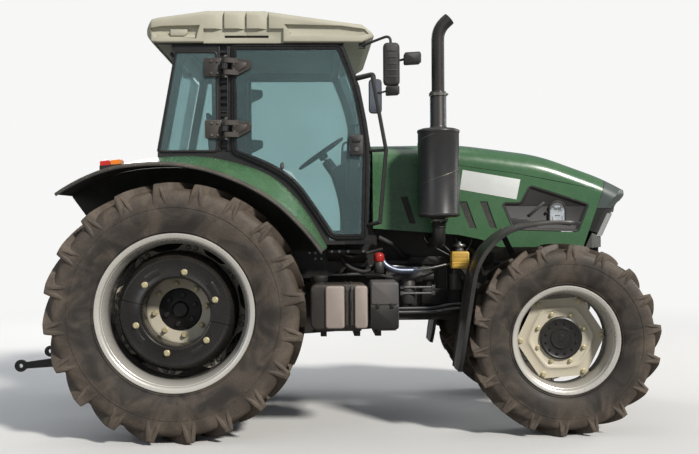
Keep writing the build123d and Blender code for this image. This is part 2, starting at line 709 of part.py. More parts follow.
pillar_front = ((1250, floor_top), (1268, 1909), (1243, 2085), (1198, 2315), (1093, 2590), (1085, 2612))
window_sill = 1878.0
window_hinge = (-70.0, 2568.0)      # rear window's hinge line: x from the rear axle, z
with BuildPart() as cab_frame:
    box_between(330, 1250, -arch_half + fender_sheet + 2, arch_half - fender_sheet - 2,
                floor_top - floor_thickness, floor_top)
    box_between(975, 1250, -cab_half, cab_half, floor_top - floor_thickness, floor_top)
    box_between(cab_rear_x, 342, -arch_half + fender_sheet + 2, arch_half - fender_sheet - 2,
                deck_top - floor_thickness, deck_top)
    box_between(330, 342, -arch_half + fender_sheet + 2, arch_half - fender_sheet - 2, floor_top - 1, deck_top)
    box_between(cab_rear_x - 12, cab_rear_x, -arch_half + fender_sheet + 2, arch_half - fender_sheet - 2,
                deck_top - floor_thickness, 1700)
    box_between(1238, 1250, -cab_half, cab_half, floor_top - 1, 1420)
    box_between(1238, 1252, -400, 400, 1419, 1860)
    for side in (1, -1):
        with BuildSketch(side_plane(cab_half if side > 0 else -cab_half + pillar_depth)):
            with BuildLine():
                Polyline(*pillar_front, (1030, 2612), (1140, 2315), (1187, 2085), (1205, 1909), (1190, floor_top),
                         close=True)
            make_face()
            with BuildLine():
                Polyline((221, 1840), (221, 2612), (366, 2612), (366, 1790), close=True)
            make_face()
            with BuildLine():
                Polyline((-138, 1886), (-20, 2520), (-40, 2612), (60, 2612), (-78, 1886), (-74, 1838), (-138, 1834),
                         close=True)
            make_face()
            with BuildLine():
                Polyline((-40, 2612), (-28, 2548), (1094, 2556), (1085, 2612), close=True)
            make_face()
            with BuildLine():
                fender_line()
                Polyline((949, 1228), (975, 1228), (975, 1262), (1000, 1290), (910, 1428), (722, 1692), (366, 1862),
                         (366, window_sill), (-138, window_sill))
                Polyline((-138, window_sill), (-750, 1878), (-750, 1608))
            make_face()
        extrude(amount=pillar_depth)
    with BuildSketch(side_plane(1100)):
        with BuildLine():
            Polyline((-800, 1500), (-800, 1900), (-139, 1900), (-139, 1500), close=True)
        make_face()
    extrude(amount=2200, mode=Mode.SUBTRACT)
    with BuildSketch(side_plane(1100)):
        with BuildLine():
            fender_line()
        trace(line_width=fender_sheet + 2 * seat_gap + 8)
    extrude(amount=1100 - cab_half + pillar_depth + 1, mode=Mode.SUBTRACT)
    with BuildSketch(side_plane(-cab_half + pillar_depth + 1)):
        with BuildLine():
            fender_line()
        trace(line_width=fender_sheet + 2 * seat_gap + 8)
    extrude(amount=300, mode=Mode.SUBTRACT)
    for x0, x1, z0, z1 in ((-40, 40, 2552, 2612), (1040, 1092, 2560, 2612)):
        box_between(x0, x1, -cab_half, cab_half, z0, z1)
    box_between(-138, -80, -cab_half, cab_half, 1840, window_sill)
    for side in (1, -1):
        for z0, z1, slats in ((1880, 1962, 1), (2100, 2371, 4), (2509, 2585, 1)):
            box_between(258, 338, side * (cab_half - 24), side * (cab_half + 1), z0, z1, mode=Mode.SUBTRACT)
            for k in range(slats):
                z = z0 + (k + 1) * (z1 - z0) / (slats + 1)
                box_between(257, 339, side * (cab_half - 26), side * (cab_half - 5), z - 8, z + 8)
    for side in (1, -1):
        for z in hinge_levels:
            box_between(180, hinge_x - 34, side * (cab_half + 7), side * (cab_half + 24), z - 58, z + 58)
            box_between(266, hinge_x - 34, side * (cab_half - 1), side * (cab_half + 24), z - 58, z + 58)
            with BuildSketch(deck_plane(z - 17)):
                with BuildLine():
                    Polyline((hinge_x - 50, side * (cab_half - 1)), (hinge_x + 6, side * (hinge_half - 12)),
                             (hinge_x + 6, side * (hinge_half + 12)), (hinge_x - 20, side * (hinge_half + 14)),
                             (hinge_x - 50, side * (cab_half + 24)), close=True)
                make_face()
            extrude(amount=34)
            post(hinge_x, side * hinge_half, hinge_barrel_radius, z - 17, z + 17)
            post(hinge_x, side * hinge_half, hinge_pin_radius, z - 58, z + 58)
        add(tube([(1240, side * 762, 1385), (1327, side * 850, 1409), (1370, side * 850, 1884),
                  (1281, side * 850, 2378), (1174, side * 760, 2362)], 13))
        add(tube([(1250, side * 762, 1884), (1370, side * 850, 1884)], 10))
        for y in (457, 543):
            box_between(-80, -38, side * (y - 7), side * (y + 7), 2555, 2580)
        bar_across(window_hinge[0], window_hinge[1], 7, side * 450, side * 550)
write(cab_frame.part, "cab_frame")

with BuildPart() as fender:
    with BuildSketch(side_plane(-arch_half)):
        with BuildLine():
            fender_line()
        trace(line_width=fender_sheet)
    extrude(amount=fender_outer_half - arch_half)
    with BuildSketch(side_plane(-fender_outer_half + 10)):
        with BuildLine():
            fender_line()
        trace(line_width=56)
    extrude(amount=10)
    with BuildSketch(side_plane(-arch_half + fender_sheet)):
        with BuildLine():
            fender_line()
            Polyline((949, 1228), (cab_rear_x, 1228), (-560, 1330), (-750, 1608))
        make_face()
    extrude(amount=fender_sheet)
    box_between(-475, -341, -880, -1000, 1745, 1826)
write_pair(fender.part, "fender_rear")

with BuildPart() as roof:
    stations = (  # x, half width, underside, edge height, centre height
        (-209, 760, 2655, 2723, 2775), (-165, 800, 2600, 2768, 2830), (180, 812, 2600, 2812, 2905),
        (568, 812, 2600, 2808, 2905), (1219, 806, 2600, 2725, 2800), (1300, 780, 2640, 2668, 2720))
    for x, half, low, edge, crest in stations:
        with BuildSketch(station_plane(x)):
            with BuildLine():
                Polyline((-half, edge), (-half, low), (half, low), (half, edge))
                ThreePointArc((-half, edge), (0, crest), (half, edge))
            make_face()
    loft(ruled=True)
    box_between(-160, 1400, -cab_half - 3, cab_half + 3, 2590, 2612 + seat_gap, mode=Mode.SUBTRACT)
    for side in (1, -1):
        with BuildSketch(side_plane(side * 814 + 30)):
            with BuildLine():
                Polyline((707, 2715), (756, 2662), (1190, 2640), (1262, 2660), (1240, 2686), (1080, 2708),
                         close=True)
            make_face()
            with BuildLine():
                Polyline((-150, 2640), (127, 2617), (151, 2712), (-100, 2695), close=True)
            make_face()
        extrude(amount=60, mode=Mode.SUBTRACT)
        with BuildSketch(station_plane(168)):
            with BuildLine():
                Polyline((side * 820, 2672), (side * 820, 2590), (side * 779, 2590), (side * 779, 2600),
                         close=True)
            make_face()
        extrude(amount=537, mode=Mode.SUBTRACT)
        box_between(310, 600, side * 782, side * 840, 2634, 2650, mode=Mode.SUBTRACT)
write(roof.part, "roof")

with BuildPart() as windscreen:
    shift = seat_gap
    lower = [(x + shift, z) for x, z in ((1253.8, 1420), (1268, 1909), (1243, 2085), (1198, 2315), (1100.7, 2570))]
    with BuildSketch(side_plane(cab_half - 34)):
        with BuildLine():
            Polyline(*lower, *[(x + glass_thickness, z) for x, z in lower[::-1]], close=True)
        make_face()
    extrude(amount=2 * cab_half - 68)
    box_between(1200, 1300, -hood_half - 12, hood_half + 12, 1400, 1862, mode=Mode.SUBTRACT)
write(windscreen.part, "windscreen")

with BuildPart() as rear_window:
    with BuildSketch(side_plane(cab_half - 40)):
        with BuildLine():
            Polyline((-150, 1892), (-143, 1892), (-27, 2516), (-34, 2516), close=True)
        make_face()
    extrude(amount=2 * (cab_half - 40))
    for side in (1, -1):
        with BuildSketch(side_plane(side * 500 + 20)):
            with BuildLine():
                Polyline((-30, 2500), (-33, 2484), (-70, 2520), (-82, 2560), (-70, 2580), (-56, 2572), close=True)
            make_face()
            with Locations((-70, 2568)):
                Circle(16)
        extrude(amount=40)
        bar_across(-70, 2568, 7 + running_gap, side * 470, side * 530, mode=Mode.SUBTRACT)
write(rear_window.part, "rear_window")

quarter_outline = ((-132, 1884), (-20, 2500), (-12, 2545), (258, 2545), (258, 1884))
write_pair(pane(quarter_outline, cab_half + seat_gap + glass_thickness, glass_thickness), "quarter_glass")

door_outline = ((352, 2588), (352, 1874), (722, 1716), (905, 1450), (1004, 1298), (1238, 1298), (1254, 1909),
                (1229, 2085), (1184, 2315), (1078, 2588))
door_y = cab_half + moving_gap + door_thickness
with BuildPart() as door:
    with BuildSketch(side_plane(-door_y + door_thickness)):
        with BuildLine():
            Polyline(*door_outline, close=True)
        make_face()
        offset(amount=-34, kind=Kind.INTERSECTION, mode=Mode.SUBTRACT)
    extrude(amount=door_thickness)
    for z in hinge_levels:
        box_between(hinge_x + 36, 490, -door_y + 1, -door_y - 18, z - 58, z + 58)
        for z0, z1 in ((z - 55, z - 23), (z + 23, z + 55)):
            with BuildSketch(deck_plane(z0)):
                with BuildLine():
                    Polyline((hinge_x + 60, -door_y + 1), (hinge_x - 4, -hinge_half + 8),
                             (hinge_x - 4, -hinge_half - 12), (hinge_x + 24, -hinge_half - 14),
                             (hinge_x + 84, -door_y - 18), close=True)
                make_face()
            extrude(amount=z1 - z0)
            post(hinge_x, -hinge_half, hinge_barrel_radius, z0, z1)
        post(hinge_x, -hinge_half, hinge_pin_radius + running_gap, z - 70, z + 70, mode=Mode.SUBTRACT)
    box_between(1130, 1225, -door_y + 1, -door_y - 30, 1850, 1990)
write_pair(door.part, "door")

with BuildPart() as door_glass:
    with BuildSketch(side_plane(-door_y + door_thickness / 2)):
        with BuildLine():
            Polyline(*door_outline, close=True)
        make_face()
        offset(amount=-34 - seat_gap, kind=Kind.INTERSECTION, mode=Mode.REPLACE)
    extrude(amount=glass_thickness)
write_pair(door_glass.part, "door_glass")

# ---- inside the cab ----
with BuildPart() as seat:
    post(450, 0, 80, floor_top + seat_gap, 1565)
    with BuildSketch(side_plane(235)):
        with BuildLine():
            Polyline((170, 1560), (680, 1560), (700, 1600), (690, 1650), (300, 1640), (210, 2290), (120, 2290),
                     (100, 2240), (160, 1620), close=True)
        make_face()
    extrude(amount=470)
write(seat.part, "seat")

wheel_tilt = 35.0
column_top = (960.0, 1900.0)
column_axis = Vector(-sin(radians(wheel_tilt)), 0, cos(radians(wheel_tilt)))
column_origin = Vector(rear_axle_x + column_top[0], 0, column_top[1])
with BuildPart() as console:
    with BuildSketch(side_plane(190)):
        with BuildLine():
            Polyline((1090, floor_top + seat_gap), (1238 - seat_gap, floor_top + seat_gap), (1238 - seat_gap, 1800),
                     (1120, 1840), (1010, 1780), (1060, 1640), (1090, 1500), close=True)
        make_face()
    extrude(amount=380)
    with BuildSketch(Plane(origin=column_origin - column_axis * 260, z_dir=column_axis)):
        Circle(40)
    extrude(amount=220)
    with BuildSketch(Plane(origin=column_origin - column_axis * 41, z_dir=column_axis)):
        Circle(12)
    extrude(amount=60)
write(console.part, "console")

with BuildPart() as steering_wheel:
    with BuildSketch(Plane(origin=column_origin - column_axis * 30, z_dir=column_axis)):
        Circle(36)
        Circle(12 + running_gap, mode=Mode.SUBTRACT)
    extrude(amount=50)
    with BuildSketch(Plane(origin=column_origin + column_axis * 19.5, z_dir=column_axis)):
        Circle(36)
    extrude(amount=12)
    rim_plane = Plane(origin=column_origin + column_axis * 20, x_dir=(0, 1, 0), z_dir=column_axis)
    with BuildSketch(rim_plane):
        Circle(200)
        Circle(176, mode=Mode.SUBTRACT)
        with PolarLocations(108, 3, start_angle=90):
            Rectangle(150, 30)
    extrude(amount=11, both=True)
write(steering_wheel.part, "steering_wheel")

with BuildPart() as side_console:
    box_between(250, 760, -arch_half + fender_sheet + 20, -330, deck_top + seat_gap, 1690)
write(side_console.part, "side_console")

with BuildPart() as mirror_piece:
    box_between(1351, 1462, -870, -905, 2299, 2587)
    box_between(1196, 1244, -742, -774, 2566, 2612)
    add(tube([(1220, -767, 2585), (1404, -887, 2640), (1404, -887, 2450)], 9))
write_pair(mirror_piece.part, "mirror")
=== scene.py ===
import json
import bmesh
import bpy
import numpy as np
from mathutils import Matrix


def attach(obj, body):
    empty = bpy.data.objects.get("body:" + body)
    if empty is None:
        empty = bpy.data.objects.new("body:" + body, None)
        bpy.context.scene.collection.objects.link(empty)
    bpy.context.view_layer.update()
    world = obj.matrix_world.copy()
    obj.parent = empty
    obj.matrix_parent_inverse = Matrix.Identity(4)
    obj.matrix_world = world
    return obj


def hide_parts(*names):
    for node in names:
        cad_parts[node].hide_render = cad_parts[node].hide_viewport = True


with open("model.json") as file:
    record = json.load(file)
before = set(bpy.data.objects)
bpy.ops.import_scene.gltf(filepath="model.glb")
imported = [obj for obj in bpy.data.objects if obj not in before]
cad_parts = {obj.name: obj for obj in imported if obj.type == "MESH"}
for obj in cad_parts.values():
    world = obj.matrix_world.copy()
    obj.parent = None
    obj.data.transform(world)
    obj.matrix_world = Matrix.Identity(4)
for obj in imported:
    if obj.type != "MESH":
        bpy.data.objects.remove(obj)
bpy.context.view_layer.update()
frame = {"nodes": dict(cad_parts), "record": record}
nodes = frame["nodes"]
scene = bpy.context.scene

# ---- The stand ----
# A level pale floor and soft lamps round the machine: a large lamp high on its right front quarter,
# paler ones at the other sides, and an even pale sky. None of it is part of the tractor.
camera_place = np.array([-0.1062, -7.6523, 1.4287])
camera_turn, camera_tip, camera_roll = 0.0353, -0.0074, -0.0072
lens_length = 53.2017167


def camera_axes(turn, tip, roll):
    """Right, up and back vectors of a camera that looks along +Y, turned to +X, tipped up and rolled, in
    radians."""
    right = np.array([np.cos(turn), -np.sin(turn), 0.0])
    ahead = np.array([np.sin(turn), np.cos(turn), 0.0]) * np.cos(tip) + np.array([0, 0, np.sin(tip)])
    up = np.cross(right, ahead)
    return (right * np.cos(roll) + up * np.sin(roll), up * np.cos(roll) - right * np.sin(roll), -ahead)


camera = bpy.data.objects.new("camera", bpy.data.cameras.new("camera"))
scene.collection.objects.link(camera)
turned_frame = np.eye(4)
turned_frame[:3, :3] = np.array(camera_axes(camera_turn, camera_tip, camera_roll)).T
turned_frame[:3, 3] = camera_place
camera.matrix_world = Matrix(turned_frame.tolist())
camera.data.sensor_width = 36.0
camera.data.lens = lens_length
camera.data.clip_end = 200.0
scene.camera = camera
scene.view_settings.view_transform = "Standard"


def srgb(red, green, blue):
    """Linear colour of a screen colour given in parts of 255."""
    c = np.array([red, green, blue]) / 255.0
    linear = np.where(c <= 0.04045, c / 12.92, ((c + 0.055) / 1.055) ** 2.4)
    return (*[float(v) for v in linear], 1.0)


def new_material(name):
    """An empty node material with its output; returns the material, its nodes and its links."""
    material = bpy.data.materials.new(name)
    material.use_nodes = True
    material.node_tree.nodes.clear()
    output = material.node_tree.nodes.new("ShaderNodeOutputMaterial")
    return material, material.node_tree.nodes, material.node_tree.links, output


backdrop_white = (0.93, 0.93, 0.925, 1.0)
floor_grey = (0.72, 0.715, 0.70, 1.0)
world = bpy.data.worlds.new("pale_sky")
world.use_nodes = True
scene.world = world
sky_nodes, sky_links = world.node_tree.nodes, world.node_tree.links
sky_nodes.clear()
sky_out = sky_nodes.new("ShaderNodeOutputWorld")
sky_seen = sky_nodes.new("ShaderNodeBackground")
sky_seen.inputs["Color"].default_value = backdrop_white
sky_seen.inputs["Strength"].default_value = 1.0
sky_light = sky_nodes.new("ShaderNodeBackground")
sky_light.inputs["Color"].default_value = (0.80, 0.88, 1.0, 1.0)
sky_light.inputs["Strength"].default_value = 0.26
ray = sky_nodes.new("ShaderNodeLightPath")
either = sky_nodes.new("ShaderNodeMath")
either.operation = "MAXIMUM"
sky_links.new(ray.outputs["Is Camera Ray"], either.inputs[0])
sky_links.new(ray.outputs["Is Transmission Ray"], either.inputs[1])
sky_mix = sky_nodes.new("ShaderNodeMixShader")
sky_links.new(either.outputs[0], sky_mix.inputs["Fac"])
sky_links.new(sky_light.outputs[0], sky_mix.inputs[1])
sky_links.new(sky_seen.outputs[0], sky_mix.inputs[2])
sky_links.new(sky_mix.outputs[0], sky_out.inputs["Surface"])

floor_mesh = bpy.data.meshes.new("floor")
floor_mesh.from_pydata([(-45, -45, 0), (45, -45, 0), (45, 45, 0), (-45, 45, 0)], [], [(0, 1, 2, 3)])
floor = bpy.data.objects.new("floor", floor_mesh)
scene.collection.objects.link(floor)
floor_material, n, links, out = new_material("floor")
shader = n.new("ShaderNodeBsdfPrincipled")
# the lens sees a pale floor; the light that it throws back at the machine is that of a worn yard
view_ray = n.new("ShaderNodeLightPath")
seen = n.new("ShaderNodeMix")
seen.data_type = "RGBA"
seen.inputs["A"].default_value, seen.inputs["B"].default_value = (0.26, 0.25, 0.235, 1.0), floor_grey
links.new(view_ray.outputs["Is Camera Ray"], seen.inputs["Factor"])
links.new(seen.outputs["Result"], shader.inputs["Base Color"])
shader.inputs["Roughness"].default_value = 0.9
shader.inputs["Specular IOR Level"].default_value = 0.1
# the floor fades into the backdrop far away, so that no edge or band shows behind the machine
place = n.new("ShaderNodeTexCoord").outputs["Object"]
reach = n.new("ShaderNodeVectorMath")
reach.operation = "LENGTH"
links.new(place, reach.inputs[0])
fade = n.new("ShaderNodeMapRange")
fade.interpolation_type = "SMOOTHSTEP"
fade.inputs["From Min"].default_value, fade.inputs["From Max"].default_value = 3.2, 11.0
links.new(reach.outputs["Value"], fade.inputs["Value"])
far = n.new("ShaderNodeEmission")
far.inputs["Color"].default_value = backdrop_white
faded = n.new("ShaderNodeMath")
faded.operation = "MULTIPLY"
links.new(fade.outputs["Result"], faded.inputs[0])
links.new(view_ray.outputs["Is Camera Ray"], faded.inputs[1])
mix = n.new("ShaderNodeMixShader")
links.new(faded.outputs[0], mix.inputs["Fac"])
links.new(shader.outputs[0], mix.inputs[1])
links.new(far.outputs[0], mix.inputs[2])
links.new(mix.outputs[0], out.inputs["Surface"])
floor_mesh.materials.append(floor_material)

# a broad sun high on the right front quarter gives the even light; large lamps give the glints
sun = bpy.data.lights.new("sun", "SUN")
sun.energy, sun.angle, sun.color = 3.5, np.radians(7.0), (1.0, 0.965, 0.91)
# lamp name: place, point it faces, width, power in watts, colour
lamps = {
    "fill": ((-6.5, -7.5, 3.2), (-0.6, 0.0, 1.2), 4.5, 90.0, (0.92, 0.96, 1.0)),
    "over": ((-0.5, 0.5, 8.5), (0.0, 0.0, 1.0), 6.5, 110.0, (1.0, 1.0, 1.0)),
    "behind": ((-4.0, 8.0, 5.0), (0.0, 0.0, 1.2), 4.0, 220.0, (0.95, 0.97, 1.0)),
    "front": ((8.5, 2.5, 3.6), (1.0, 0.0, 1.2), 3.5, 160.0, (1.0, 0.98, 0.95)),
}


def aimed_lamp(name, lamp, place, aim):
    """Puts a lamp at a place, facing a point."""
    stand = bpy.data.objects.new(name, lamp)
    scene.collection.objects.link(stand)
    away = np.array(place) - np.array(aim)
    away = away / np.linalg.norm(away)
    side = np.cross([0.0, 0.0, 1.0], away)
    side = side / np.linalg.norm(side)
    basis = np.eye(4)
    basis[:3, :3] = np.array([side, np.cross(away, side), away]).T
    basis[:3, 3] = place
    stand.matrix_world = Matrix(basis.tolist())


aimed_lamp("sun", sun, (6.0, -7.5, 8.0), (0.3, 0.0, 1.2))
for name, (place, aim, width, power, colour) in lamps.items():
    lamp = bpy.data.lights.new("lamp_" + name, "AREA")
    lamp.shape, lamp.size, lamp.energy, lamp.color = "DISK", width, power, colour
    aimed_lamp("lamp_" + name, lamp, place, aim)

# ---- Tyres ----
# Cross-ply traction tyres: a moulded black rubber carcass with a rib round each wall, and deep bars that
# run from the middle of the tread over the shoulder and end there in two legs. Dust lies on the tread.
rear_axle_x, wheelbase = -0.991, 2.532
tyre_sizes = {
    # radius, half width, bar height, bars a side, wheel centre off the middle, bead, flange, inside of
    # the flange
    "rear": (0.838, 0.234, 0.040, 20, 0.850, 0.482, 0.511, 0.206),
    "front": (0.628, 0.189, 0.034, 18, 0.820, 0.331, 0.3585, 0.156),
}
axle_places = {"rear": (rear_axle_x, 0.838), "front": (rear_axle_x + wheelbase, 0.628)}
sides = {"right": -1.0, "left": 1.0}


def grid_faces(rows, columns, wrap_rows=False, wrap_columns=False):
    """Quads between neighbouring points of a grid; a wrapped direction joins its last line to its first."""
    r = np.arange(rows if wrap_rows else rows - 1)
    c = np.arange(columns if wrap_columns else columns - 1)
    a, b = (m.ravel() for m in np.meshgrid(r, c, indexing="ij"))
    a2, b2 = (a + 1) % rows, (b + 1) % columns
    quads = np.stack([a * columns + b, a * columns + b2, a2 * columns + b2, a2 * columns + b], axis=1)
    return [tuple(q) for q in quads.tolist()]


def skin(points, wrap_rows=False, wrap_columns=False, caps=False):
    """Points and faces of a grid of points (rows, columns, 3); caps closes its first and last row by one
    face."""
    rows, columns = points.shape[:2]
    faces = grid_faces(rows, columns, wrap_rows, wrap_columns)
    if caps:
        faces.append(tuple(range(columns))[::-1])
        faces.append(tuple((rows - 1) * columns + i for i in range(columns)))
    return points.reshape(-1, 3), faces


def closed(loops):
    """A solid form from loops with the same number of points: each loop is closed, and so are both ends."""
    return skin(np.asarray(loops), wrap_columns=True, caps=True)


def make_piece(name, forms, material, body, sharp=35.0):
    """One mesh object from (points, faces) forms: doubles merged, faces turned outwards, riding on a body."""
    points = np.vstack([form[0] for form in forms])
    faces, start = [], 0
    for form in forms:
        faces += [tuple(i + start for i in face) for face in form[1]]
        start += len(form[0])
    mesh = bpy.data.meshes.new(name)
    mesh.from_pydata(points.tolist(), [], faces)
    whole = bmesh.new()
    whole.from_mesh(mesh)
    bmesh.ops.remove_doubles(whole, verts=whole.verts, dist=0.00005)
    bmesh.ops.dissolve_degenerate(whole, dist=0.00005, edges=whole.edges)
    bmesh.ops.recalc_face_normals(whole, faces=whole.faces)
    whole.to_mesh(mesh)
    whole.free()
    mesh.shade_smooth()
    mesh.set_sharp_from_angle(angle=np.radians(sharp))
    mesh.materials.append(material)
    piece = bpy.data.objects.new(name, mesh)
    scene.collection.objects.link(piece)
    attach(piece, body)
    return piece


def on_wheel(turn, radius, out, kind, side):
    """Points at an angle up from the front, a radius from the axle and a distance outboard of the wheel's
    middle."""
    centre_x, centre_z = axle_places[kind]
    middle = tyre_sizes[kind][4]
    turn, radius, out = np.broadcast_arrays(turn, radius, out)
    return np.stack([centre_x + radius * np.cos(turn), sides[side] * (middle + out),
                     centre_z + radius * np.sin(turn)], axis=-1)


def whole_turn(count):
    """Evenly spaced angles round a circle, in radians."""
    return np.linspace(0, 2 * np.pi, count, endpoint=False)


def ring(profile, kind, side, segments=120, round_section=True):
    """A profile of (radius, outboard) carried round the axle."""
    turn = whole_turn(segments)[:, None]
    radius, out = np.array(profile)[:, 0][None, :], np.array(profile)[:, 1][None, :]
    return skin(on_wheel(turn, radius, out, kind, side), wrap_rows=True, wrap_columns=round_section)


def carcass_profile(kind):
    """Half the tyre's section from the middle of its tread to the bead, as (radius, outboard)."""
    radius, half, bar, _, _, bead, flange, seat = tyre_sizes[kind]
    tread = np.array([(0.0, 0.0), (0.35, 0.001), (0.65, 0.004), (0.80, 0.012), (0.88, 0.026), (0.935, 0.046),
                      (0.965, 0.072), (0.98, 0.10), (0.988, 0.125)])
    upper = np.stack([radius - bar - tread[:, 1] * radius, tread[:, 0] * half], axis=1)
    rib = radius - bar - 0.145 * radius
    outline = [(rib + 0.004, 0.99 * half), (rib + 0.0025, 1.004 * half), (rib - 0.0025, 1.004 * half),
               (rib - 0.004, 0.991 * half)]
    share = np.array([(0.12, 0.997), (0.3, 0.995), (0.48, 0.98), (0.64, 0.955), (0.78, 0.92)])
    lower = np.stack([rib + (flange - rib) * share[:, 0], share[:, 1] * half], axis=1)
    foot = [(flange + 0.016, seat + 0.006), (flange + 0.0145, seat + 0.010), (flange + 0.0115, seat + 0.010),
            (flange + 0.010, seat + 0.004), (flange + 0.004, seat - 0.001), (flange - 0.006, seat - 0.004),
            (bead + 0.004, seat - 0.006), (bead + 0.002, seat - 0.03)]
    return np.vstack([upper, outline, lower, foot])


def bar_form(kind, side, outer):
    """One chevron bar for every pitch: a section of ten points carried from the tread's middle to the
    wall."""
    radius, half, bar, count = tyre_sizes[kind][:4]
    size = radius / 0.838
    # place across the tread and drop of the top, place and drop of the foot, half width at the top and at the
    # foot, half width of the pocket in the end
    station = np.array([
        (-0.11, 0.052, -0.12, 0.060, 0.016, 0.020, 0.004),
        (-0.075, 0.016, -0.11, 0.060, 0.019, 0.026, 0.006),
        (-0.055, 0.002, -0.08, 0.060, 0.0205, 0.028, 0.007),
        (-0.03, 0.000, -0.03, 0.060, 0.0215, 0.029, 0.007),
        (0.15, 0.000, 0.15, 0.060, 0.0215, 0.029, 0.008),
        (0.33, 0.001, 0.33, 0.060, 0.0225, 0.030, 0.008),
        (0.51, 0.002, 0.51, 0.062, 0.0235, 0.032, 0.009),
        (0.69, 0.003, 0.69, 0.066, 0.0250, 0.035, 0.009),
        (0.82, 0.004, 0.82, 0.076, 0.0265, 0.040, 0.009),
        (0.90, 0.006, 0.88, 0.090, 0.0275, 0.046, 0.009),
        (0.955, 0.010, 0.91, 0.100, 0.0280, 0.050, 0.009),
        (0.978, 0.017, 0.93, 0.104, 0.0285, 0.051, 0.009),
        (0.985, 0.032, 0.94, 0.112, 0.0295, 0.052, 0.009),
        (0.990, 0.040, 0.945, 0.118, 0.0310, 0.053, 0.010),
        (0.994, 0.075, 0.955, 0.134, 0.0365, 0.055, 0.017),
        (0.997, 0.115, 0.965, 0.150, 0.0430, 0.057, 0.025),
        (0.996, 0.150, 0.975, 0.165, 0.0490, 0.059, 0.033),
        (0.985, 0.170, 0.975, 0.176, 0.0520, 0.058, 0.036),
    ])
    top_out, top_r = station[:, 0] * half, radius * (1 - station[:, 1])
    low_out, low_r = station[:, 2] * half, radius * (1 - station[:, 3])
    wide, base, pocket = station[:, 4] * size, station[:, 5] * size, station[:, 6] * size
    run = np.clip((station[:, 0] + 0.05) / 1.0, 0, 1)
    lead = 0.85 * half
    centre = lead * (run - 0.5) - 0.10 * lead * np.sin(np.pi * run)
    deep = (station[:, 1] >= 0.035).astype(float) * 0.82
    edge = 0.004 * size
    zero = np.zeros_like(wide)
    # columns: sideways place, and how far down from the top towards the foot
    sideways = np.stack([-base, -wide, -wide + edge, -pocket, -pocket * 0.86, pocket * 0.86, pocket,
                         wide - edge, wide, base], axis=1)
    drop = np.stack([zero + 1, zero + 0.10, zero, zero, deep, deep, zero, zero, zero + 0.10, zero + 1],
                    axis=1)
    out = top_out[:, None] * (1 - drop) + low_out[:, None] * drop
    r = top_r[:, None] * (1 - drop) + low_r[:, None] * drop
    turn = (centre[:, None] + sideways) / radius
    pitch = 2 * np.pi / count
    forms = []
    for k in range(count):
        shift = (k + (0.0 if outer else 0.5)) * pitch
        forms.append(closed(on_wheel(turn + shift, r, out if outer else -out, kind, side)))
    return forms


def noise_node(n, links, vector, scale, detail=4.0, rough=0.55, distort=0.0):
    """A noise texture on given coordinates; returns its value output."""
    noise = n.new("ShaderNodeTexNoise")
    noise.inputs["Scale"].default_value = scale
    noise.inputs["Detail"].default_value = detail
    noise.inputs["Roughness"].default_value = rough
    noise.inputs["Distortion"].default_value = distort
    links.new(vector, noise.inputs["Vector"])
    return noise.outputs["Fac"]


def ramp_node(n, links, value, low, high, to_low=0.0, to_high=1.0):
    """A smooth step of a value from low to high, put out between two numbers."""
    step = n.new("ShaderNodeMapRange")
    step.interpolation_type = "SMOOTHSTEP"
    for name, number in (("From Min", low), ("From Max", high), ("To Min", to_low), ("To Max", to_high)):
        step.inputs[name].default_value = number
    links.new(value, step.inputs["Value"])
    return step.outputs["Result"]


def mix_colour(n, links, share, first, second, blend="MIX"):
    """Mixes two colours, each a colour or an output, by a share from 0 to 1."""
    mix = n.new("ShaderNodeMix")
    mix.data_type, mix.blend_type = "RGBA", blend
    for socket, value in ((mix.inputs["Factor"], share), (mix.inputs["A"], first), (mix.inputs["B"], second)):
        if isinstance(value, bpy.types.NodeSocket):
            links.new(value, socket)
        else:
            socket.default_value = value
    return mix.outputs["Result"]


def math_node(n, links, operation, first, second=None):
    """One arithmetic node on outputs or numbers."""
    node = n.new("ShaderNodeMath")
    node.operation = operation
    for socket, value in zip(node.inputs, (first, second)):
        if isinstance(value, bpy.types.NodeSocket):
            links.new(value, socket)
        elif value is not None:
            socket.default_value = value
    return node.outputs[0]


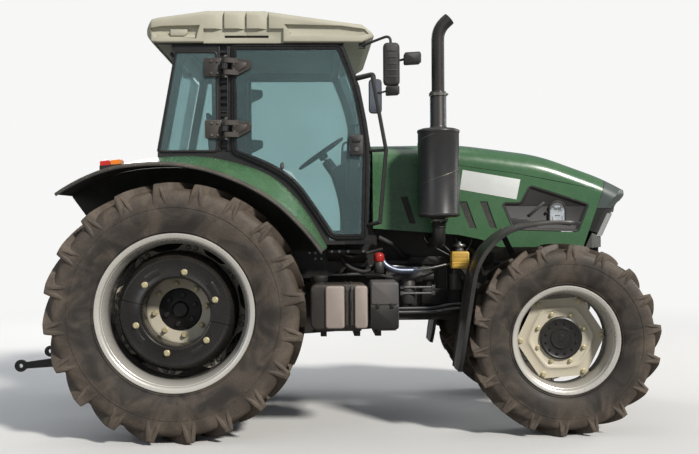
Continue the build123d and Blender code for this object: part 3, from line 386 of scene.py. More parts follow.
def rubber_material(kind):
    """Dusty rubber: black-brown on the walls with faint smears, paler with dried soil towards the tread."""
    centre_x, centre_z = axle_places[kind]
    radius = tyre_sizes[kind][0]
    material, n, links, out = new_material("rubber_" + kind)
    place = n.new("ShaderNodeTexCoord").outputs["Object"]
    centred = n.new("ShaderNodeMapping")
    centred.inputs["Location"].default_value = (-centre_x, 0.0, -centre_z)
    links.new(place, centred.inputs["Vector"])
    flat = n.new("ShaderNodeVectorMath")
    flat.operation = "MULTIPLY"
    flat.inputs[1].default_value = (1.0, 0.0, 1.0)
    links.new(centred.outputs[0], flat.inputs[0])
    length = n.new("ShaderNodeVectorMath")
    length.operation = "LENGTH"
    links.new(flat.outputs[0], length.inputs[0])
    reach = ramp_node(n, links, length.outputs["Value"], 0.72 * radius, 0.99 * radius)
    smear = noise_node(n, links, place, 5.0, detail=5.0, distort=1.2)
    grit = noise_node(n, links, place, 90.0, detail=3.0)
    soil = math_node(n, links, "MULTIPLY", ramp_node(n, links, smear, 0.36, 0.70, 0.14, 1.0), 0.42)
    soil = math_node(n, links, "ADD", soil, math_node(n, links, "MULTIPLY", reach, 0.36))
    soil = math_node(n, links, "MULTIPLY", soil, ramp_node(n, links, grit, 0.2, 0.8, 0.72, 1.12))
    colour = mix_colour(n, links, soil, srgb(40, 38, 36), srgb(122, 109, 96))
    shader = n.new("ShaderNodeBsdfPrincipled")
    links.new(colour, shader.inputs["Base Color"])
    links.new(ramp_node(n, links, smear, 0.3, 0.75, 0.52, 0.78), shader.inputs["Roughness"])
    shader.inputs["Specular IOR Level"].default_value = 0.35
    bump = n.new("ShaderNodeBump")
    bump.inputs["Strength"].default_value = 0.35
    bump.inputs["Distance"].default_value = 0.0015
    links.new(grit, bump.inputs["Height"])
    links.new(bump.outputs[0], shader.inputs["Normal"])
    links.new(shader.outputs[0], out.inputs["Surface"])
    return material


for kind in ("rear", "front"):
    rubber = rubber_material(kind)
    for side in ("right", "left"):
        half_section = carcass_profile(kind)
        mirrored = half_section[::-1] * [1.0, -1.0]
        section = np.vstack([half_section, mirrored[:-1]])
        forms = [ring(section, kind, side, segments=144)]
        forms += bar_form(kind, side, True) + bar_form(kind, side, False)
        body = f"wheel_{kind}_{side}"
        tyre = make_piece(f"tyre_{kind}_tread_{side}", forms, rubber, body)
        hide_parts(f"tyre_{kind}_{side}")

# ---- Wheels ----
# Rolled steel rims with double-curled flanges, painted silver grey and dusty. The rear ones have a pressed
# disc on eight bolted brackets and a two-piece iron weight; the front ones a dished disc round a hub.
dust_colour = srgb(150, 138, 120)


def grime_group():
    """Paint, plastic or iron under dust: dust gathers on faces that look up and in soft patches."""
    group = bpy.data.node_groups.new("grime", "ShaderNodeTree")
    for name, kind, number in (("Paint", "NodeSocketColor", (0.5, 0.5, 0.5, 1)),
                               ("Dust", "NodeSocketColor", dust_colour),
                               ("Amount", "NodeSocketFloat", 0.3), ("Grain", "NodeSocketFloat", 60.0),
                               ("Rough", "NodeSocketFloat", 0.4)):
        group.interface.new_socket(name, in_out="INPUT", socket_type=kind).default_value = number
    for name, kind in (("Color", "NodeSocketColor"), ("Roughness", "NodeSocketFloat"),
                       ("Height", "NodeSocketFloat")):
        group.interface.new_socket(name, in_out="OUTPUT", socket_type=kind)
    n, links = group.nodes, group.links
    given, result = n.new("NodeGroupInput"), n.new("NodeGroupOutput")
    place = n.new("ShaderNodeTexCoord").outputs["Object"]
    patches = noise_node(n, links, place, 3.5, detail=6.0, rough=0.6)
    grain = n.new("ShaderNodeTexNoise")
    grain.inputs["Detail"].default_value = 3.0
    links.new(place, grain.inputs["Vector"])
    links.new(given.outputs["Grain"], grain.inputs["Scale"])
    facing = n.new("ShaderNodeSeparateXYZ")
    links.new(n.new("ShaderNodeNewGeometry").outputs["Normal"], facing.inputs[0])
    upward = ramp_node(n, links, facing.outputs["Z"], -0.2, 0.9, 0.35, 1.0)
    share = math_node(n, links, "MULTIPLY", upward, ramp_node(n, links, patches, 0.35, 0.70, 0.25, 1.0))
    share = math_node(n, links, "MULTIPLY", share, given.outputs["Amount"])
    speckle = ramp_node(n, links, grain.outputs["Fac"], 0.2, 0.8, 0.75, 1.15)
    share = math_node(n, links, "MULTIPLY", share, speckle)
    tone = ramp_node(n, links, patches, 0.25, 0.75, 0.90, 1.08)
    toned = n.new("ShaderNodeVectorMath")
    toned.operation = "SCALE"
    links.new(given.outputs["Paint"], toned.inputs[0])
    links.new(tone, toned.inputs["Scale"])
    links.new(mix_colour(n, links, share, toned.outputs[0], given.outputs["Dust"]), result.inputs["Color"])
    rough = math_node(n, links, "ADD", given.outputs["Rough"], math_node(n, links, "MULTIPLY", share, 0.45))
    uneven = ramp_node(n, links, grain.outputs["Fac"], 0.3, 0.7, -0.03, 0.03)
    rough = math_node(n, links, "ADD", rough, uneven)
    links.new(rough, result.inputs["Roughness"])
    links.new(grain.outputs["Fac"], result.inputs["Height"])
    return group


grime = grime_group()


def finish(name, paint, rough, dust=0.25, grain=60.0, relief=0.12, metal=0.0, coat=0.0, depth=0.0006,
           dust_paint=dust_colour, deep=None):
    """A painted, plastic or cast finish under dust, with a fine grain in relief; inside a wheel its colour can
    be darkened from the outer to the inner of two distances across the machine, as painted shade deep in the
    barrel."""
    material, n, links, out = new_material(name)
    worn = n.new("ShaderNodeGroup")
    worn.node_tree = grime
    for socket, value in (("Paint", paint), ("Dust", dust_paint), ("Amount", dust), ("Grain", grain),
                          ("Rough", rough)):
        worn.inputs[socket].default_value = value
    shader = n.new("ShaderNodeBsdfPrincipled")
    shader.inputs["Metallic"].default_value = metal
    shader.inputs["Coat Weight"].default_value = coat
    shader.inputs["Coat Roughness"].default_value = 0.22
    # painted shade: the colour is scaled down towards the middle of the machine, for the shade deep inside a
    # wheel's barrel
    if deep:
        across = n.new("ShaderNodeSeparateXYZ")
        links.new(n.new("ShaderNodeTexCoord").outputs["Object"], across.inputs[0])
        reach = math_node(n, links, "ABSOLUTE", across.outputs["Y"])
        shade = ramp_node(n, links, reach, deep[0], deep[1], 0.22, 1.0)
        painted_shade = n.new("ShaderNodeVectorMath")
        painted_shade.operation = "SCALE"
        links.new(worn.outputs["Color"], painted_shade.inputs[0])
        links.new(shade, painted_shade.inputs["Scale"])
        links.new(painted_shade.outputs[0], shader.inputs["Base Color"])
    else:
        links.new(worn.outputs["Color"], shader.inputs["Base Color"])
    links.new(worn.outputs["Roughness"], shader.inputs["Roughness"])
    bump = n.new("ShaderNodeBump")
    bump.inputs["Strength"].default_value = relief
    bump.inputs["Distance"].default_value = depth
    links.new(worn.outputs["Height"], bump.inputs["Height"])
    links.new(bump.outputs[0], shader.inputs["Normal"])
    links.new(shader.outputs[0], out.inputs["Surface"])
    return material


# the rims' colour darkens inwards as painted shade inside the barrel
rim_silver = {"rear": finish("rim_silver_rear", srgb(214, 211, 203), 0.28, dust=0.22, metal=0.35, grain=45,
                             deep=(0.86, 1.050)),
              "front": finish("rim_silver_front", srgb(214, 211, 203), 0.28, dust=0.22, metal=0.35, grain=45,
                              deep=(0.80, 0.968))}
rim_cream = finish("rim_cream", srgb(206, 198, 178), 0.42, dust=0.35, grain=45)
weight_black = finish("weight_black", srgb(28, 27, 27), 0.27, dust=0.09, grain=120, relief=0.25)
hub_black = finish("hub_black", srgb(24, 24, 25), 0.38, dust=0.14, grain=150, relief=0.3)
bolt_yellow = finish("bolt_yellow", srgb(196, 186, 148), 0.38, dust=0.2, metal=0.3)
bolt_steel = finish("bolt_steel", srgb(120, 118, 112), 0.38, dust=0.25, metal=0.7)


def bolt_forms(kind, side, turn, radius, out, size, tall, inward=False, washer=1.35):
    """A hexagon head on a washer, its axis along the axle; size is half the width over its corners."""
    forms = []
    centre = on_wheel(turn, radius, out, kind, side)
    push = sides[side] * (-1.0 if inward else 1.0)
    around_washer = whole_turn(18)
    around_head = whole_turn(6) + turn
    for around, rings in ((around_washer,
                           ((washer, 0.0), (washer, 0.18), (washer * 0.93, 0.22), (0.3, 0.22))),
                          (around_head, ((1.0, 0.20), (1.0, 0.90), (0.86, 1.0), (0.02, 1.0)))):
        r = np.array(rings)[:, 0][:, None] * size
        y = np.array(rings)[:, 1][:, None] * tall
        points = np.stack([centre[0] + r * np.cos(around)[None, :], centre[1] + push * y + 0
                           * around[None, :], centre[2] + r * np.sin(around)[None, :]], axis=-1)
        forms.append(closed(points))
    return forms


def barrel_section(kind):
    """Closed section of the rolled rim: curled flange, bead seat and well, as (radius, outboard)."""
    bead, flange, seat = tyre_sizes[kind][5:8]
    well = bead - (0.030 if kind == "rear" else 0.024)
    drop = 0.034
    outer = [(flange - 0.003, seat + 0.0085), (flange, seat + 0.005), (flange, seat + 0.001),
             (flange - 0.004, seat), (bead + 0.012, seat - 0.001), (bead + 0.004, seat - 0.006),
             (bead, seat - 0.016), (bead - 0.002, seat - 0.05), (bead - 0.006, seat - 0.058),
             (well, seat - 0.058 - drop)]
    inner = [(flange - 0.007, seat + 0.0095), (flange - 0.011, seat + 0.008), (bead + 0.014, seat + 0.0075),
             (bead + 0.006, seat + 0.006), (bead - 0.003, seat + 0.002), (bead - 0.0075, seat - 0.004),
             (bead - 0.009, seat - 0.012), (bead - 0.0095, seat - 0.028), (bead - 0.0135, seat - 0.030),
             (bead - 0.0135, seat - 0.036), (bead - 0.0095, seat - 0.038), (bead - 0.011, seat - 0.054),
             (bead - 0.015, seat - 0.062), (well - 0.009, seat - 0.066 - drop)]
    outer, inner = np.array(outer), np.array(inner)
    flip = np.array([1.0, -1.0])
    return np.vstack([outer, outer[::-1] * flip, inner * flip, inner[::-1]])


def disc_forms(kind, side, outline, inner_radius, face, thick, dish):
    """A pressed disc: its edge radius follows outline(turn); dish gives (share of the way out, push
    outboard)."""
    turn = whole_turn(240)[:, None]
    share, push = np.array(dish)[:, 0], np.array(dish)[:, 1]
    edge = outline(turn)
    radius = inner_radius + (edge - inner_radius) * share[None, :]
    front = on_wheel(turn, radius, face + push[None, :] + 0 * turn, kind, side)
    back = on_wheel(turn, radius, face - thick + push[None, :] + 0 * turn, kind, side)
    return skin(np.concatenate([front, back[:, ::-1]], axis=1), wrap_rows=True, wrap_columns=True)


for side in ("right", "left"):
    body = f"wheel_rear_{side}"
    barrel = [ring(barrel_section("rear"), "rear", side, 144)]
    rim = make_piece(f"rear_barrel_{side}", barrel, rim_silver["rear"], body)
    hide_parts(f"rim_rear_{side}")
    # the disc's edge: eight feet reach the well, with windows between them
    feet, face, well_radius = 8, -0.104, 0.450

    def rear_edge(turn):
        """Edge radius of the rear disc: eight feet to the brackets, wavy between them."""
        lobe = np.cos(feet * (turn + np.radians(11.0)))
        return 0.418 + 0.020 * np.tanh(2.4 * lobe)

    forms = [disc_forms("rear", side, rear_edge, 0.143, face, 0.012,
                        ((0.0, 0.0), (0.22, 0.0), (0.26, 0.0), (0.30, -0.006), (0.86, -0.006),
                         (0.93, 0.0), (1.0, 0.0)))]
    make_piece(f"rear_disc_{side}", forms, rim_cream, body)
    brackets, bolts = [], []
    for k in range(feet):
        turn = 2 * np.pi * k / feet - np.radians(11.0)
        spread = np.array([-0.042, -0.040, 0.040, 0.042]) / well_radius
        rows = []
        for out, low in ((face - 0.030, 0.400), (face - 0.0155, 0.400), (face - 0.0125, 0.403)):
            rows.append(np.concatenate([on_wheel(turn + spread, low, out, "rear", side),
                                        on_wheel(turn + spread[::-1], well_radius, out, "rear", side)]))
        brackets.append(closed(rows))
        for offset in (-0.024, 0.024):
            bolts += bolt_forms("rear", side, turn + offset / 0.42, 0.418, face, 0.013, 0.016)
    make_piece(f"rear_brackets_{side}", brackets, rim_silver["rear"], body)
    make_piece(f"rear_bracket_bolts_{side}", bolts, bolt_steel, body)
    # hub with six socket screws, and the disc's studs
    hub_section = [(0.0, -0.080), (0.044, -0.080), (0.050, -0.085), (0.053, -0.100), (0.060, -0.104),
                   (0.130, -0.104), (0.139, -0.108), (0.142, -0.114), (0.142, -0.130)]
    hub = [ring(hub_section, "rear", side, 72, round_section=False)]
    for k in range(6):
        turn = np.radians(20 + 60 * k)
        hub += bolt_forms("rear", side, turn, 0.098, -0.105, 0.017, 0.020, washer=1.0)
    make_piece(f"rear_hub_{side}", hub, hub_black, body)
    studs = []
    for k in range(8):
        studs += bolt_forms("rear", side, np.radians(8 + 45 * k), 0.172, face, 0.0155, 0.026)
    make_piece(f"rear_studs_{side}", studs, bolt_yellow, body)
    # two half rings of cast iron, split along a slanting line
    halves = []
    split = np.radians(-14.0)
    for start in (split, split + np.pi):
        turn = np.linspace(start + 0.006, start + np.pi - 0.006, 90)[:, None]
        section = np.array([(0.222, face + 0.001), (0.222, 0.136), (0.226, 0.146), (0.234, 0.150),
                            (0.240, 0.150), (0.245, 0.1465), (0.328, 0.1465), (0.333, 0.148),
                            (0.340, 0.150), (0.347, 0.148), (0.357, 0.132), (0.388, 0.024),
                            (0.3945, 0.004), (0.396, -0.010), (0.396, -0.034), (0.390, -0.044),
                            (0.330, face + 0.001)])
        halves.append(closed(on_wheel(turn, section[None, :, 0], section[None, :, 1], "rear", side)))
    for k in range(4):
        # blank cast pads between the bolts
        middle = np.radians(45 + 90 * k) + split
        turn = (middle + np.linspace(-0.17, 0.17, 12))[:, None]
        pad = np.array([(0.262, 0.145), (0.2625, 0.1485), (0.264, 0.1495), (0.304, 0.1495), (0.3055, 0.1485),
                        (0.306, 0.145)])
        halves.append(closed(on_wheel(turn, pad[None, :, 0], pad[None, :, 1], "rear", side)))
    weight = make_piece(f"weight_halves_{side}", halves, weight_black, body)
    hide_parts(f"wheel_weight_{side}")
    heads = []
    for k in range(6):
        turn = np.radians(17.5 + 60 * k) if side == "right" else np.radians(162.5 + 60 * k)
        heads += bolt_forms("rear", side, turn, 0.265, 0.1465, 0.0165, 0.022, washer=1.25)
    make_piece(f"weight_bolts_{side}", heads, bolt_yellow, body)

for side in ("right", "left"):
    body = f"wheel_front_{side}"
    barrel = [ring(barrel_section("front"), "front", side, 120)]
    rim = make_piece(f"front_barrel_{side}", barrel, rim_silver["front"], body)
    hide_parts(f"rim_front_{side}")
    face = -0.010

    def front_edge(turn):
        """Edge radius of the front disc: six feet with nearly straight sides between them."""
        part = np.mod(turn - np.radians(4.0) + np.pi / 6, np.pi / 3) - np.pi / 6
        straight = 0.262 / np.cos(np.pi / 6 - np.abs(part))
        return np.minimum(straight, 0.292 - 0.02 * np.abs(part))

    forms = [disc_forms("front", side, front_edge, 0.140, face, 0.010,
                        ((0.0, 0.004), (0.30, 0.004), (0.36, 0.006), (0.42, 0.012), (0.50, 0.012),
                         (0.56, 0.006), (0.66, 0.0), (0.90, 0.0), (1.0, 0.0)))]
    make_piece(f"front_disc_{side}", forms, rim_cream, body)
    brackets, bolts = [], []
    for k in range(6):
        turn = np.pi / 3 * k + np.radians(4.0)
        spread = np.array([-0.034, 0.034])
        rows = []
        for low, high, out in ((0.272, 0.300, face - 0.034), (0.262, 0.302, face - 0.014),
                               (0.264, 0.302, face - 0.0105)):
            rows.append(np.concatenate([on_wheel(turn + spread / 0.3, low, out, "front", side),
                                        on_wheel(turn + spread[::-1] / 0.3, high, out, "front", side)]))
        brackets.append(closed(rows))
        bolts += bolt_forms("front", side, turn, 0.272, face, 0.0145, 0.018)
    make_piece(f"front_brackets_{side}", brackets, rim_cream, body)
    for k in range(8):
        bolts += bolt_forms("front", side, np.radians(22 + 45 * k), 0.166, face + 0.004, 0.0125, 0.020)
    make_piece(f"front_wheel_bolts_{side}", bolts, bolt_yellow, body)
    hub_section = [(0.0, 0.022), (0.020, 0.022), (0.024, 0.018), (0.058, 0.018), (0.062, 0.022),
                   (0.070, 0.022), (0.074, 0.015), (0.122, 0.013), (0.130, 0.017), (0.140, 0.013),
                   (0.143, 0.006), (0.143, -0.016)]
    hub = [ring(hub_section, "front", side, 72, round_section=False)]
    for k in range(12):
        hub += bolt_forms("front", side, np.radians(15 + 30 * k), 0.104, 0.013, 0.0085, 0.011, washer=1.0)
    make_piece(f"front_hub_{side}", hub, hub_black, body)

# ---- Bonnet ----
# Pressed green sheet steel, hinged at the cab's end: a crowned top that rolls over soft shoulders into flat
# sides. The sides have slanted mesh vents and a black moulded pan that carries an arched work lamp.
def smooth_table(x, stations, values, reach=0.12):
    """Values of a table between its stations, with its corners rounded over a reach."""
    offsets = np.linspace(-reach, reach, 13)
    return np.mean([np.interp(x + o, stations, values) for o in offsets], axis=0)


def from_axle(x, y, z):
    """Points given by x from the rear axle."""
    x, y, z = np.broadcast_arrays(x, y, z)
    return np.stack([rear_axle_x + x, y, z], axis=-1)


def prism(outline, inner, outer):
    """A closed bar: an outline of (x from the rear axle, height) carried across from y inner to y outer."""
    outline = np.array(outline)
    rows = [from_axle(outline[:, 0], y, outline[:, 1]) for y in (inner, outer)]
    return closed(rows)


def plan_block(outline, z0, z1, y_sign=1.0):
    """A closed upright block: an outline of (x, y) carried from z0 to z1."""
    outline = np.array(outline)
    return closed([from_axle(outline[:, 0], y_sign * outline[:, 1], z) for z in (z0, z1)])


def corners(x0, x1, low, high):
    """The four corners of a rectangle, as an outline."""
    return [(x0, low), (x1, low), (x1, high), (x0, high)]


def cut(piece, forms, operation="DIFFERENCE", sharp=30.0):
    """Cuts closed forms, or another piece, out of a piece, or keeps what they share; sets its sharp edges
    again."""
    whole = isinstance(forms, bpy.types.Object)
    tool = forms if whole else make_piece("tool", forms, piece.data.materials[0], "chassis")
    change = piece.modifiers.new("cut", "BOOLEAN")
    change.operation, change.object, change.solver = operation, tool, "EXACT"
    bpy.context.view_layer.update()
    mesh = bpy.data.meshes.new_from_object(piece.evaluated_get(bpy.context.evaluated_depsgraph_get()))
    piece.modifiers.clear()
    piece.data = mesh
    bpy.data.objects.remove(tool)
    mesh.shade_smooth()
    mesh.set_sharp_from_angle(angle=np.radians(sharp))


def bonnet_half(x):
    """Half width of the bonnet at x from the rear axle."""
    return smooth_table(x, [1.305, 1.94, 2.514, 2.99, 3.22], [0.425, 0.425, 0.419, 0.395, 0.365])


def bonnet_skin(x, wall, low=1.15, r=0.125):
    """Sections of the bonnet at stations x, pulled in by a wall: flat sides, round shoulders, crowned top."""
    half = bonnet_half(x)[:, None] - wall
    top = smooth_table(x, [1.305, 1.94, 2.514, 2.99, 3.06, 3.22], [1.936, 1.944, 1.868, 1.698, 1.66,
                                                                   1.57])[:, None] - wall
    r = r - wall
    bend = np.radians(np.linspace(0, 80, 13))[None, :]
    y_side = np.repeat(half, 12, axis=1)
    z_side = low + (top - r - low) * np.linspace(0, 1, 12)[None, :]
    y_bend, z_bend = half - r + r * np.cos(bend), top - r + r * np.sin(bend)
    share = np.linspace(0, 1, 12)[None, 1:]
    y_crown = y_bend[:, -1:] * (1 - share)
    z_crown = z_bend[:, -1:] + 0.088 * y_bend[:, -1:] * (1 - (1 - share) ** 2)
    y = np.concatenate([-y_side, -y_bend[:, 1:], -y_crown], axis=1)
    z = np.concatenate([z_side, z_bend[:, 1:], z_crown], axis=1)
    y, z = np.concatenate([y, -y[:, -2::-1]], axis=1), np.concatenate([z, z[:, -2::-1]], axis=1)
    return from_axle(x[:, None], y, z)


paint_green = finish("paint_green", srgb(66, 107, 72), 0.26, dust=0.12, grain=30, relief=0.015, coat=0.4)
plastic_dark = finish("plastic_dark", srgb(46, 46, 47), 0.55, dust=0.15, grain=400, relief=0.25)
stations = np.concatenate([np.linspace(1.305, 2.4, 24), np.linspace(2.43, 3.05, 26)])
outer_sheet, inner_sheet = bonnet_skin(stations, 0.0), bonnet_skin(stations, 0.006)
shell = closed(np.concatenate([outer_sheet, inner_sheet[:, ::-1]], axis=1))
bonnet = make_piece("bonnet", [shell], paint_green, "hood", sharp=30)
below = [(1.1, 1.362), (1.326, 1.362), (1.90, 1.316), (2.06, 1.283), (2.10, 1.268), (2.16, 1.238),
         (2.198, 1.226), (2.796, 1.222), (2.956, 1.668), (2.99, 1.762), (3.3, 1.8), (3.3, 1.0), (1.1, 1.0)]
cut(bonnet, [prism(below, -0.6, 0.6)])
pan_line = np.array([(2.215, 1.522), (2.226, 1.536), (2.244, 1.543), (2.330, 1.541), (2.350, 1.550),
                     (2.400, 1.644), (2.412, 1.656), (2.432, 1.659), (2.822, 1.533), (2.836, 1.523),
                     (2.836, 1.508), (2.770, 1.346), (2.762, 1.334), (2.744, 1.328), (2.312, 1.343),
                     (2.296, 1.347), (2.285, 1.360)])
vents = [np.array(v) for v in (((1.904, 1.550), (1.968, 1.550), (2.037, 1.354), (1.984, 1.354)),
                               ((2.052, 1.549), (2.112, 1.549), (2.180, 1.356), (2.129, 1.356)),
                               ((1.496, 1.586), (1.552, 1.590), (1.612, 1.393), (1.560, 1.393)))]
seams = (((1.466, 1.638), (1.88, 1.638)), ((1.43, 1.896), (1.60, 1.896)), ((1.60, 1.896), (1.906, 1.803)),
         ((1.906, 1.803), (2.308, 1.745)), ((2.308, 1.745), (2.884, 1.633)))
for y_sign in (-1.0, 1.0):
    tools = []
    for outline in [pan_line] + vents:
        edge = y_sign * bonnet_half(outline[:, 0])
        tools.append(prism(outline, edge - y_sign * 0.03, edge + y_sign * 0.02))
    for (x0, z0), (x1, z1) in seams:
        strip = np.array([(x0, z0 - 0.002), (x1, z1 - 0.002), (x1, z1 + 0.002), (x0, z0 + 0.002)])
        edge = y_sign * bonnet_half(strip[:, 0])
        tools.append(prism(strip, edge - y_sign * 0.0035, edge + y_sign * 0.02))
    for form in tools:
        cut(bonnet, [form])
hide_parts("hood")


def shrunk(outline, by):
    """An outline pulled in towards its middle by a distance along its corners' bisectors."""
    ahead, behind = np.roll(outline, -1, axis=0) - outline, outline - np.roll(outline, 1, axis=0)
    normals = [np.stack([-d[:, 1], d[:, 0]], axis=1) / np.linalg.norm(d, axis=1)[:, None]
               for d in (ahead, behind)]
    middle = normals[0] + normals[1]
    turned = np.sign(np.sum(outline[:, 0] * np.roll(outline[:, 1], -1) - np.roll(outline[:, 0], -1)
                            * outline[:, 1]))
    return outline + turned * by * middle / np.maximum(np.sum(middle * normals[0], axis=1), 0.4)[:, None]


def on_bonnet(loop, y_sign, deep):
    """A loop of (x from the rear axle, height) laid on a side of the bonnet, a distance below its surface."""
    return from_axle(loop[:, 0], y_sign * (bonnet_half(loop[:, 0]) - deep), loop[:, 1])


def pan(outline, y_sign, steps):
    """A moulded pan set in a side: loops of the outline, each (pulled in by, below the bonnet's side)."""
    return closed([on_bonnet(shrunk(outline, by), y_sign, deep) for by, deep in steps])


lens_clear, n, links, out = new_material("lens_clear")
shader = n.new("ShaderNodeBsdfPrincipled")
shader.inputs["Transmission Weight"].default_value = 1.0
shader.inputs["Roughness"].default_value = 0.03
shader.inputs["Base Color"].default_value = (0.92, 0.94, 0.95, 1.0)
links.new(shader.outputs[0], out.inputs["Surface"])
chrome = finish("chrome", srgb(206, 208, 210), 0.12, dust=0.06, metal=1.0)
mesh_black = finish("vent_mesh", srgb(40, 42, 40), 0.5, dust=0.3, grain=260, relief=1.0, depth=0.004)
white_plate = finish("white_plate", srgb(226, 228, 226), 0.3, dust=0.06, relief=0.0)
rubber_black = finish("rubber_black", srgb(20, 20, 21), 0.6, dust=0.1, grain=300, relief=0.2)


def arch(x0, x1, low, high, by=0.0, points=9):
    """Outline of a lamp with a round top, pulled in by a distance."""
    r = (x1 - x0) / 2 - by
    turn = np.linspace(0, np.pi, points)
    middle, spring = (x0 + x1) / 2, high - (x1 - x0) / 2
    return np.vstack([[(middle - r, low + by), (middle + r, low + by)],
                      np.stack([middle + r * np.cos(turn), spring + r * np.sin(turn)], axis=1)])


for side in ("right", "left"):
    y_sign = sides[side]
    body, slot = "hood", "black_plastic"
    tray = [pan(pan_line, y_sign, ((0.0025, 0.02), (0.0025, 0.002), (0.006, 0.001), (0.012, 0.004),
                                   (0.020, 0.015), (0.026, 0.018)))]
    ridge = np.array([(2.400, 1.452), (2.418, 1.440), (2.528, 1.534), (2.512, 1.546)])
    tray.append(pan(ridge, y_sign, ((0.0, 0.019), (0.0, 0.012), (0.004, 0.009))))
    wing = np.array([(2.262, 1.430), (2.300, 1.372), (2.470, 1.366), (2.400, 1.434)])
    tray.append(pan(wing, y_sign, ((0.0, 0.019), (0.004, 0.015), (0.012, 0.0135))))
    make_piece(f"bonnet_pan_{side}", tray, plastic_dark, body, sharp=50)
    lamp = (2.551, 2.672, 1.398, 1.548)
    rows = [on_bonnet(arch(*lamp, by), y_sign, deep)
            for by, deep in ((-0.004, 0.019), (-0.003, 0.004), (0.002, 0.001), (0.009, 0.004), (0.011, 0.0175))]
    make_piece(f"side_lamp_frame_{side}", [skin(np.stack(rows), wrap_columns=True)], plastic_dark, body)
    rows = [on_bonnet(arch(*lamp, by), y_sign, deep)
            for by, deep in ((0.0095, 0.011), (0.0095, 0.0065), (0.013, 0.005))]
    make_piece(f"side_lamp_lens_{side}", [closed(rows)], lens_clear, body)
    rows = [on_bonnet(arch(*lamp, by), y_sign, deep)
            for by, deep in ((0.010, 0.0125), (0.014, 0.0168), (0.03, 0.0172))]
    mirror_forms = [closed(rows)]
    for x0, x1, z0, z1 in ((2.592, 2.632, 1.438, 1.466), (2.590, 2.634, 1.482, 1.518),
                           (2.572, 2.584, 1.41, 1.50), (2.640, 2.652, 1.41, 1.50)):
        block = np.array(corners(x0, x1, z0, z1))
        mirror_forms.append(pan(block, y_sign, ((0.0, 0.017), (0.001, 0.0135), (0.003, 0.0125))))
    make_piece(f"side_lamp_mirror_{side}", mirror_forms, chrome, body)
    knob = np.array([(2.533 + 0.010 * np.cos(a), 1.466 + 0.010 * np.sin(a)) for a in whole_turn(13)])
    make_piece(f"pan_knob_{side}",
               [pan(knob, y_sign, ((0.0, 0.019), (0.0, 0.008), (0.003, 0.006)))], rubber_black, body)
    rims, meshes = [], []
    for outline in vents:
        rims.append(pan(outline, y_sign, ((-0.0005, 0.012), (-0.0005, 0.0035), (0.004, 0.0035),
                                          (0.006, 0.009))))
        meshes.append(pan(shrunk(outline, 0.003), y_sign, ((0.0, 0.010), (0.0, 0.0075), (0.0005, 0.007))))
    make_piece(f"vent_rims_{side}", rims, paint_green, body)
    make_piece(f"vent_mesh_{side}", meshes, mesh_black, body)
    plate = np.array([(1.938, 1.771), (2.347, 1.701), (2.318, 1.561), (1.917, 1.633)])
    rows = [on_bonnet(loop, y_sign, deep)
            for loop, deep in ((plate, 0.001), (plate, -0.0008), (shrunk(plate, 0.001), -0.0011))]
    make_piece(f"side_plate_{side}", [closed(rows)], white_plate, body)


# ---- Nose ----
# Moulded plastic front of the bonnet: a grey brow that runs on from the top, over a black slotted grille
# between two bright corner strips, with a glass-fronted twin lamp on each side and a fixed cowl below.
nose_corner = 0.395


def nose_x(y, z, inset=0.0):
    """x of the nose's front at a place across and a height, pulled in by a wall; it bows between its
    corners."""
    middle = smooth_table(z, [1.20, 1.260, 1.302, 1.505, 1.591, 1.70, 1.80],
                          [2.974, 2.984, 3.004, 3.100, 3.172, 3.150, 3.140], 0.013)
    return middle - 1.4 * inset - 0.140 * np.abs(y / nose_corner) ** 2.8


def nose_sheet(heights, across, inset):
    """A grid of points on the nose's front, pulled in by a wall."""
    z, y = np.meshgrid(heights, across, indexing="ij")
    return from_axle(nose_x(y, z, inset), y, z)


def nose_piece(name, low, high, material, wall=0.014, inset=0.0):
    """The part of the hollow nose between two heights: its front, its sides and its top, cut to the
    bonnet's end."""
    heights = np.concatenate([np.linspace(1.20, 1.48, 12), np.linspace(1.49, 1.63, 18),
                              np.linspace(1.65, 1.80, 5)])
    walls = []
    for pulled in (inset, wall):
        across = (nose_corner - pulled) * np.sin(np.linspace(-np.pi / 2, np.pi / 2, 45))
        front = nose_sheet(heights, across, pulled)
        back = from_axle(2.78, np.array([across[-1], across[0]])[None, :], heights[:, None])
        block = make_piece(name, [closed(np.concatenate([front, back], axis=1))],
                           material, "hood")
        top = closed(bonnet_skin(np.linspace(2.7, 3.3, 13), pulled))
        cut(block, [top], "INTERSECT")
        walls.append(block)
    shell, hollow = walls
    cut(shell, hollow)
    behind = [(2.60, 1.15), (2.771, 1.15), (2.839, 1.336), (2.9595, 1.668), (2.9935, 1.762),
              (3.006, 1.80), (2.60, 1.80)]
    cut(shell, [prism(behind, -0.6, 0.6)])
    under = [(2.70, 1.10), (3.10, 1.10), (3.10, 1.272), (2.70, 1.372)]
    cut(shell, [prism(under, -0.6, 0.6)])
    for z0, z1 in ((0.9, low), (high, 2.1)):
        cut(shell, [prism(corners(2.5, 3.4, z0, z1), -0.6, 0.6)])
    return shell


def lamp_loop(y_sign, by, inset):
    """Outline of a front lamp on the nose's face, pulled in by a distance and set back by another."""
    across = np.linspace(0.118 + by, 0.298 - by, 10)
    rising = np.linspace(1.462 + by, 1.548 - by, 5)[1:-1]
    y = np.concatenate([across, 0 * rising + across[-1], across[::-1], 0 * rising + across[0]])
    z = np.concatenate([0 * across + rising[0] - (rising[1] - rising[0]), rising,
                        0 * across + rising[-1] + (rising[1] - rising[0]), rising[::-1]])
    return from_axle(nose_x(y, z, inset), y_sign * y, z)


